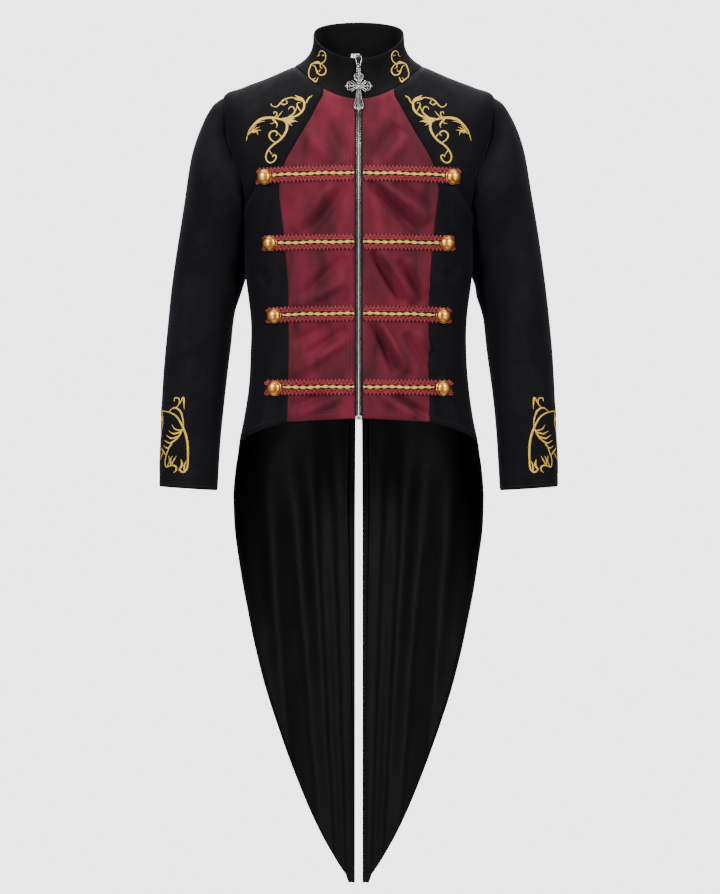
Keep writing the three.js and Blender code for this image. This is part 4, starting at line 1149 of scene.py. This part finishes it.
def lower_arm():
    """The long arm: on each side an outline, a drop and an inner wire, then a spine and a tip."""
    outline = [(1.8, -2), (3.3, -11), (4.4, -20), (6.0, -28), (7.0, -33), (5.0, -37), (1.0, -38.6)]
    drop = [(1.9, -28), (4.2, -30.2), (4.9, -34), (2.7, -35.6)]
    inner = [(1.3, -10), (2.3, -19), (2.1, -26)]
    parts = []
    for hand in (1, -1):
        parts.append(wire(np.array(outline) * (hand, 1), 0.5, 50))
        parts.append(wire(np.array(drop) * (hand, 1), 0.34, 28, True))
        parts.append(wire(np.array(inner) * (hand, 1), 0.3, 20))
    parts.append(tapered_wire([(0, 0), (0, -20), (0, -37)], 0.7, 0.5, 30))
    parts.append(wire([(-1.9, -37.2), (0, -38.8), (1.9, -37.2)], 0.65, 12))
    parts.append(ball(0, -39.8, 1.2))
    return placed(joined(parts), np.eye(3), np.array([0, CROSS_CENTRE, 0]))


def ray(angle):
    c, s = cos(radians(angle)), sin(radians(angle))
    line = [(4 * c, 4 * s), (9 * c, 9 * s), (14.2 * c, 14.2 * s)]
    return placed(tapered_wire(line, 0.5, 0.35, 12), np.eye(3), np.array([0, CROSS_CENTRE, 0]))


ring_turn = np.linspace(0, tau, 32, endpoint=False)
level = np.zeros_like(ring_turn)
jump_ring = sweep(np.column_stack([level, -0.4 + 2 * np.cos(ring_turn), 2 * np.sin(ring_turn)]),
                  0.55, 0.55, (1, 0, 0), 8, True)
eye = sweep(np.column_stack([2.7 * np.cos(ring_turn), -5.9 + 2.7 * np.sin(ring_turn), level]),
            0.75, 0.75, (0, 0, 1), 8, True)
neck_of_cross = wire([(0, -8.4), (0, -10.2), (0, -12)], 0.9, 8)
cross = joined(
    [jump_ring, eye, neck_of_cross, lower_arm(), ball(0, CROSS_CENTRE, 1.7, flat=0.45)]
    + [turned_arm(arm(*SIDE_ARM), 0), turned_arm(arm(*SIDE_ARM), 180), turned_arm(arm(*UPPER_ARM), 90)]
    + [ray(angle) for angle in (42, 138, 222, 318)]
)
piece("pull_cross_filigree", hung(cross, CROSS_PIVOT, CROSS_LEAN), SILVER, ["pull_cross"],
      "cross")


# Plain woven label inside the back of the collar
label_angle = pi - np.arcsin(np.linspace(*LABEL_X, 9) / LABEL_COLLAR_HALF_WIDTH)[None]
label_height = np.linspace(*LABEL_HEIGHT, 7)[:, None]
label_layers = [collar_out(label_angle, label_height, out) for out in LABEL_OUT]
label = piece("neck_label_tape", shell(*label_layers), LABEL, ["neck_label"])


# Gold embroidery: raised strokes that widen and taper, laid on the cloth
def stroke(place, points, start, middle, end, weight):
    """One stroke with its widths at the start, the middle and the end."""
    steps = max(10, 5 * len(points))
    line = smooth_line(points, steps)
    t = np.linspace(0, 1, steps + 1)
    first_half = mix(start, middle, smoothstep(0, 0.5, t))
    second_half = mix(middle, end, smoothstep(0.5, 1, t))
    width = np.where(t < 0.5, first_half, second_half)
    height = STROKE_HEIGHT * (0.4 + 0.35 * width / max(middle, start, end))
    base = place(line[:, 0], line[:, 1], STROKE_OUT)
    raised = place(line[:, 0], line[:, 1], STROKE_OUT + 1)
    return sweep(base, weight * width / 2, height, unit(raised - base), 8)


def motif(strokes, place, weight):
    return joined([stroke(place, points, *widths, weight) for points, widths in strokes])


# The shoulder's scroll, in millimetres to the outside and down from the neck end of the collar seam
SHOULDER_SCROLL = [
    ([(0, 0), (6, 5), (9, 11), (12, 13)], (0.6, 2.0, 1.4)),
    ([(1, 3), (5, 2)], (0.5, 1.0, 1.0)),
    ([(12, 12), (13, 21), (18, 28), (27, 33), (38, 35)], (2.6, 2.8, 1.8)),
    ([(26, -1), (21, 3), (15, 7), (12, 12)], (0.8, 4.2, 2.6)),
    ([(28, 5), (21, 6), (15, 9)], (0.6, 3.4, 1.6)),
    ([(23, 4), (33, 3), (43, 6), (49, 12), (54, 17), (60, 16), (63, 12)], (1.2, 2.0, 1.0)),
    ([(47, 12), (43, 14), (38, 11), (40, 7)], (2.0, 1.6, 0.9)),
    ([(18, 12), (21, 11), (23, 14), (20, 21), (17, 26)], (1.0, 1.6, 1.2)),
    ([(37, 35), (29, 29), (25, 23), (23, 17)], (2.4, 2.0, 0.8)),
    ([(26, 25), (29, 18), (34, 18), (36, 22)], (1.2, 1.5, 0.9)),
    ([(38, 35), (47, 37), (54, 35), (66, 34), (78, 36), (88, 44), (96, 54), (100, 68)], (2.4, 3.6, 0.9)),
    ([(96, 54), (91, 46), (82, 41), (72, 39)], (0.9, 1.6, 0.7)),
    ([(97, 58), (90, 54), (84, 55), (82, 60)], (1.6, 3.4, 0.8)),
    ([(90, 55), (85, 50), (80, 48)], (2.6, 1.4, 0.5)),
    ([(90, 56), (83, 53), (77, 53)], (2.4, 1.4, 0.5)),
    ([(92, 54), (88, 48), (84, 45)], (2.2, 1.2, 0.5)),
    ([(60, 36), (56, 40), (53, 45), (54, 50)], (2.4, 2.2, 0.7)),
    ([(56, 40), (60, 43), (64, 43)], (1.6, 1.2, 0.5)),
    ([(40, 35), (34, 40), (27, 40), (22, 41)], (3.6, 3.6, 0.6)),
    ([(38, 37), (32, 37), (26, 36)], (3.0, 2.4, 0.5)),
    ([(38, 38), (35, 43), (30, 47)], (3.2, 2.6, 0.6)),
    ([(46, 36), (39, 42), (38, 51), (42, 61), (50, 70), (60, 77), (67, 85), (70, 93), (68, 100), (63, 103),
      (57, 100), (54, 94), (57, 91), (60, 94)], (3.2, 2.4, 1.6)),
    ([(54, 73), (61, 69), (65, 62), (62, 56), (56, 55), (52, 59), (55, 62)], (1.2, 2.2, 1.6)),
    ([(44, 66), (48, 62), (50, 59)], (1.6, 1.4, 0.6)),
    ([(65, 84), (62, 88), (60, 91)], (1.2, 1.2, 0.6)),
    ([(57, 34), (54, 30), (54, 26), (58, 25), (58, 28)], (1.4, 1.5, 1.1)),
    ([(53, 33), (48, 28), (45, 24)], (1.4, 1.4, 0.6)),
]
SHOULDER_ANCHOR = (70, -52.5)

# The cuff's lyre, in millimetres round from the sleeve's outer line and up from the cuff
CUFF_LYRE = [
    ([(14, 115), (34, 114), (52, 108), (62, 96), (70, 80), (74, 64), (75, 46), (74, 34), (68, 29),
      (61, 33)], (1.2, 2.8, 2.2)),
    ([(62, 33), (66, 39), (64, 46)], (2.0, 3.0, 0.8)),
    ([(70, 30), (70, 38), (72, 44)], (1.8, 2.2, 0.8)),
    ([(36, 113), (48, 120), (58, 116), (64, 104), (66, 92)], (1.0, 2.6, 1.2)),
    ([(50, 119), (56, 126), (55, 134), (48, 135), (47, 130)], (1.2, 1.6, 1.4)),
    ([(57, 126), (62, 136), (64, 126), (65, 118)], (1.0, 2.6, 0.7)),
    ([(0, 122), (3, 112), (10, 106), (20, 100)], (1.4, 2.2, 1.0)),
    ([(16, 115), (21, 100), (14, 78), (9, 56), (4, 38), (0, 26)], (1.4, 2.2, 1.0)),
    ([(64, 88), (58, 76), (46, 66), (38, 54), (33, 42), (36, 35), (44, 37), (52, 38)], (2.2, 1.8, 1.6)),
    ([(50, 38), (56, 36), (56, 31), (52, 28)], (2.0, 2.4, 0.7)),
    ([(48, 39), (52, 45), (56, 50)], (1.8, 1.8, 0.6)),
    ([(46, 38), (46, 46), (49, 50)], (1.6, 1.6, 0.6)),
    ([(38, 36), (43, 42), (42, 50)], (1.2, 1.4, 0.6)),
    ([(62, 86), (52, 88), (46, 94)], (2.0, 1.8, 0.6)),
    ([(62, 84), (50, 81), (40, 85)], (2.2, 2.0, 0.6)),
    ([(58, 77), (46, 74), (34, 79)], (2.2, 2.0, 0.6)),
    ([(53, 71), (42, 67), (30, 71)], (2.0, 1.8, 0.6)),
    ([(47, 65), (38, 60), (28, 63)], (2.0, 1.8, 0.6)),
    ([(36, 50), (26, 56), (18, 60)], (1.2, 2.4, 0.8)),
    ([(30, 56), (20, 48), (14, 44)], (1.0, 1.8, 0.6)),
]

# The collar's scroll, in millimetres to the outside and down from its upper inner end
COLLAR_SCROLL = [
    ([(22, 54), (24, 45), (26, 36), (24, 26), (21, 20), (14, 19), (6, 20), (1, 15), (0, 8), (2, 3), (6, 0),
      (10, 3), (10, 7), (13, 8)], (1.4, 2.4, 1.2)),
    ([(6, 7), (3, 8), (2, 5)], (0.8, 1.1, 0.6)),
    ([(20, 22), (16, 25), (14, 31), (12, 36), (6, 39), (1, 36), (0, 30), (3, 24), (6, 21)],
     (1.2, 2.4, 1.2)),
    ([(14, 31), (10, 33), (8, 29)], (1.2, 1.4, 0.6)),
    ([(8, 21), (8, 26), (5, 28)], (1.8, 1.6, 0.6)),
    ([(22, 54), (15, 50), (11, 42)], (1.6, 2.6, 0.7)),
    ([(21, 53), (19, 47), (15, 43)], (1.2, 2.2, 0.7)),
    ([(20, 19), (12, 17), (9, 18)], (1.6, 3.0, 1.2)),
]
COLLAR_ANCHOR = (50, 19)


def on_collar(x, z, out, side):
    """A point of the collar from its distance to the centre line and its height."""
    low, high = np.zeros(len(x)), np.full(len(x), pi / 2)
    for _ in range(HALVINGS):
        angle = (low + high) / 2
        seam_z = body_point(angle, np.zeros(len(x)))[:, 2]
        rim_z = rim_point(angle)[:, 2]
        height = np.clip((z - seam_z) / (rim_z - seam_z), 0.01, 0.97)
        further = collar_point(angle, height)[:, 0] < x
        low, high = np.where(further, angle, low), np.where(further, high, angle)
    return collar_out(angle, height, out + collar_relief(angle, height), side)


def scroll_place(surface, anchor, side):
    return lambda across, down, out: surface(anchor[0] + across, anchor[1] - down, out, side)


def cuff_place(side, hand):
    def place(across, up, out):
        return sleeve_point(LAST_RING - up / CUFF_RING_STEP, hand * across / CUFF_QUARTER / 4, out, side)
    return place


for side, word in SIDES:
    shoulder = motif(SHOULDER_SCROLL, scroll_place(on_front, SHOULDER_ANCHOR, side), 1.3)
    on_stand = motif(COLLAR_SCROLL, scroll_place(on_collar, COLLAR_ANCHOR, side), 1.0)
    cuff = joined([motif(CUFF_LYRE, cuff_place(side, hand), 1.25) for hand in (1, -1)])
    trims[side] += [
        piece(f"shoulder_embroidery_{word}", shoulder, GOLD_THREAD),
        piece(f"collar_embroidery_{word}", on_stand, GOLD_THREAD),
        piece(f"cuff_embroidery_{word}", cuff, GOLD_THREAD),
    ]


# Stitches: short raised threads in even steps along a line
def stitches(path, normal):
    run = np.concatenate([[0], np.cumsum(np.linalg.norm(np.diff(path, axis=0), axis=1))])
    at = np.arange(STITCH_PITCH / 2, run[-1] - STITCH_PITCH / 2, STITCH_PITCH)
    shape = ((-0.5, -0.2), (-0.25, 0.8), (0.25, 0.8), (0.5, -0.2))
    knots = []
    for share, lift in shape:
        point = [np.interp(at + share * STITCH_LENGTH, run, path[:, k]) for k in range(3)]
        away = [np.interp(at + share * STITCH_LENGTH, run, normal[:, k]) for k in range(3)]
        knots.append(np.stack(point, axis=1) + lift * STITCH_RADIUS * np.stack(away, axis=1))
    knots = np.stack(knots, axis=1)
    middle = np.stack([np.interp(at, run, normal[:, k]) for k in range(3)], axis=1)
    widths = np.array([0.4, 1.0, 1.0, 0.4]) * STITCH_RADIUS
    return joined([sweep(line, widths, widths, up, 6) for line, up in zip(knots, middle)])


def cloth_stitches(cells, side):
    path = cloth_point(cells, 0.0, side)
    return stitches(path, unit(cloth_point(cells, 1.0, side) - path))


def cells_from_edge(cells, distance):
    """The line of a panel that runs this far inside its last column, below the side seam."""
    rows = cells[FRONT_STEPS:-1]
    points = cloth_point(rows, 0.0)
    run = np.linalg.norm(points[:, -1:] - points, axis=-1)
    line = []
    for row, away in zip(rows, run):
        line.append([np.interp(distance, away[::-1], row[::-1, k]) for k in (0, 1)])
    return np.array(line)


for side, word in SIDES:
    beside_zip = [locate(x, np.linspace(top, CENTRE_HEM_Z + HEM_TURN, 260)) for x, top in TOPSTITCHES]
    hem_x = np.linspace(TOPSTITCHES[0][0], PLASTRON_EDGE[-1][0] - 2, 160)
    plastron_hem = locate(hem_x, np.linspace(CENTRE_HEM_Z, PLASTRON_EDGE[-1][1], 160) + HEM_TURN)
    red = joined([cloth_stitches(line, side) for line in (*beside_zip, plastron_hem)])
    trims[side].append(piece(f"plastron_stitches_{word}", red, RED_THREAD))
    hem_row = -1 - round(HEM_TURN * FRONT_STEPS / FRONT_EDGE_LENGTH)
    tail_column = cells_from_edge(back_cells, HEM_TURN)
    around_cuff = np.linspace(0, 1, 240)
    cuff_ring = LAST_RING - HEM_TURN / CUFF_RING_STEP
    cuff_path = sleeve_point(cuff_ring, around_cuff, 0.0, side)
    cuff_out = unit(sleeve_point(cuff_ring, around_cuff, 1.0, side) - cuff_path)
    black = joined([
        cloth_stitches(front_cells[hem_row, 2:-2], side),
        cloth_stitches(tail_column, side),
        stitches(cuff_path, cuff_out),
    ])
    trims[side].append(piece(f"hem_stitches_{word}", black, BLACK_THREAD))


for side, word in SIDES:
    cloth_point(plastron_cells, 0, side)
    cloth_point(front_cells, 0, side)
    cloth_point(back_cells, 0, side)
    cloth_point(lining_cells, LINING_OUT, side)
    sleeve_point(rings, np.append(armhole_turns, 1)[None], 0.0, side)
    closure_point(tape_x, tape_places, TAPE_OUT[0])
collar_grid(0, 0)


# Stage, light and camera
def area_light(name, place, target, size, power):
    light = bpy.data.lights.new(name, "AREA")
    light.shape = "RECTANGLE"
    light.size, light.size_y = size
    light.energy = power
    made = bpy.data.objects.new(name, light)
    made.location = place
    made.rotation_euler = (Vector(target) - Vector(place)).to_track_quat("-Z", "Y").to_euler()
    bpy.context.scene.collection.objects.link(made)


floor_mesh = bpy.data.meshes.new("floor")
disc = bmesh.new()
bmesh.ops.create_circle(disc, cap_ends=True, radius=FLOOR_RADIUS, segments=96)
disc.to_mesh(floor_mesh)
disc.free()
floor = bpy.data.objects.new("floor", floor_mesh)
floor.location = (0, 0, FLOOR_Z)
bpy.context.scene.collection.objects.link(floor)
PALE, _ = shader_material("pale_floor", {"Base Color": colour(236, 236, 236), "Roughness": 0.9})
floor_mesh.materials.append(PALE)

world = bpy.data.worlds.new("pale_world")
world.use_nodes = True
world_tree = world.node_tree
seen = world_tree.nodes["Background"]
seen.inputs["Color"].default_value = (1, 1, 1, 1)
seen.inputs["Strength"].default_value = BACKGROUND_STRENGTH
lighting = world_tree.nodes.new("ShaderNodeBackground")
lighting.inputs["Color"].default_value = (0.95, 0.97, 1, 1)
lighting.inputs["Strength"].default_value = AMBIENT_STRENGTH
either = world_tree.nodes.new("ShaderNodeMixShader")
rays = world_tree.nodes.new("ShaderNodeLightPath")
world_tree.links.new(rays.outputs["Is Camera Ray"], either.inputs["Fac"])
world_tree.links.new(lighting.outputs["Background"], either.inputs[1])
world_tree.links.new(seen.outputs["Background"], either.inputs[2])
world_tree.links.new(either.outputs["Shader"], world_tree.nodes["World Output"].inputs["Surface"])
bpy.context.scene.world = world

area_light("key_left", (-1.7, -2.2, 0.9), (0, 0, -0.35), (0.6, 0.9), 62)
area_light("key_right", (1.7, -2.2, 0.9), (0, 0, -0.35), (0.6, 0.9), 52)
area_light("low_left", (-1.8, -2.4, -0.9), (0, 0, -0.6), (0.6, 0.7), 16)
area_light("low_right", (1.8, -2.4, -0.9), (0, 0, -0.6), (0.6, 0.7), 16)
area_light("back", (0, 2.4, 0.8), (0, 0, -0.6), (1.6, 1.6), 60)
area_light("floor_light", (0, 0.4, 1.6), (0, 0.4, -1.36), (2.4, 2.4), 60)

camera_data = bpy.data.cameras.new("camera")
camera_data.lens = CAMERA_LENS
camera_data.clip_end = 50
camera = bpy.data.objects.new("camera", camera_data)
camera.location = CAMERA_PLACE
camera.rotation_euler = (pi / 2, 0, 0)
bpy.context.scene.collection.objects.link(camera)
bpy.context.scene.camera = camera
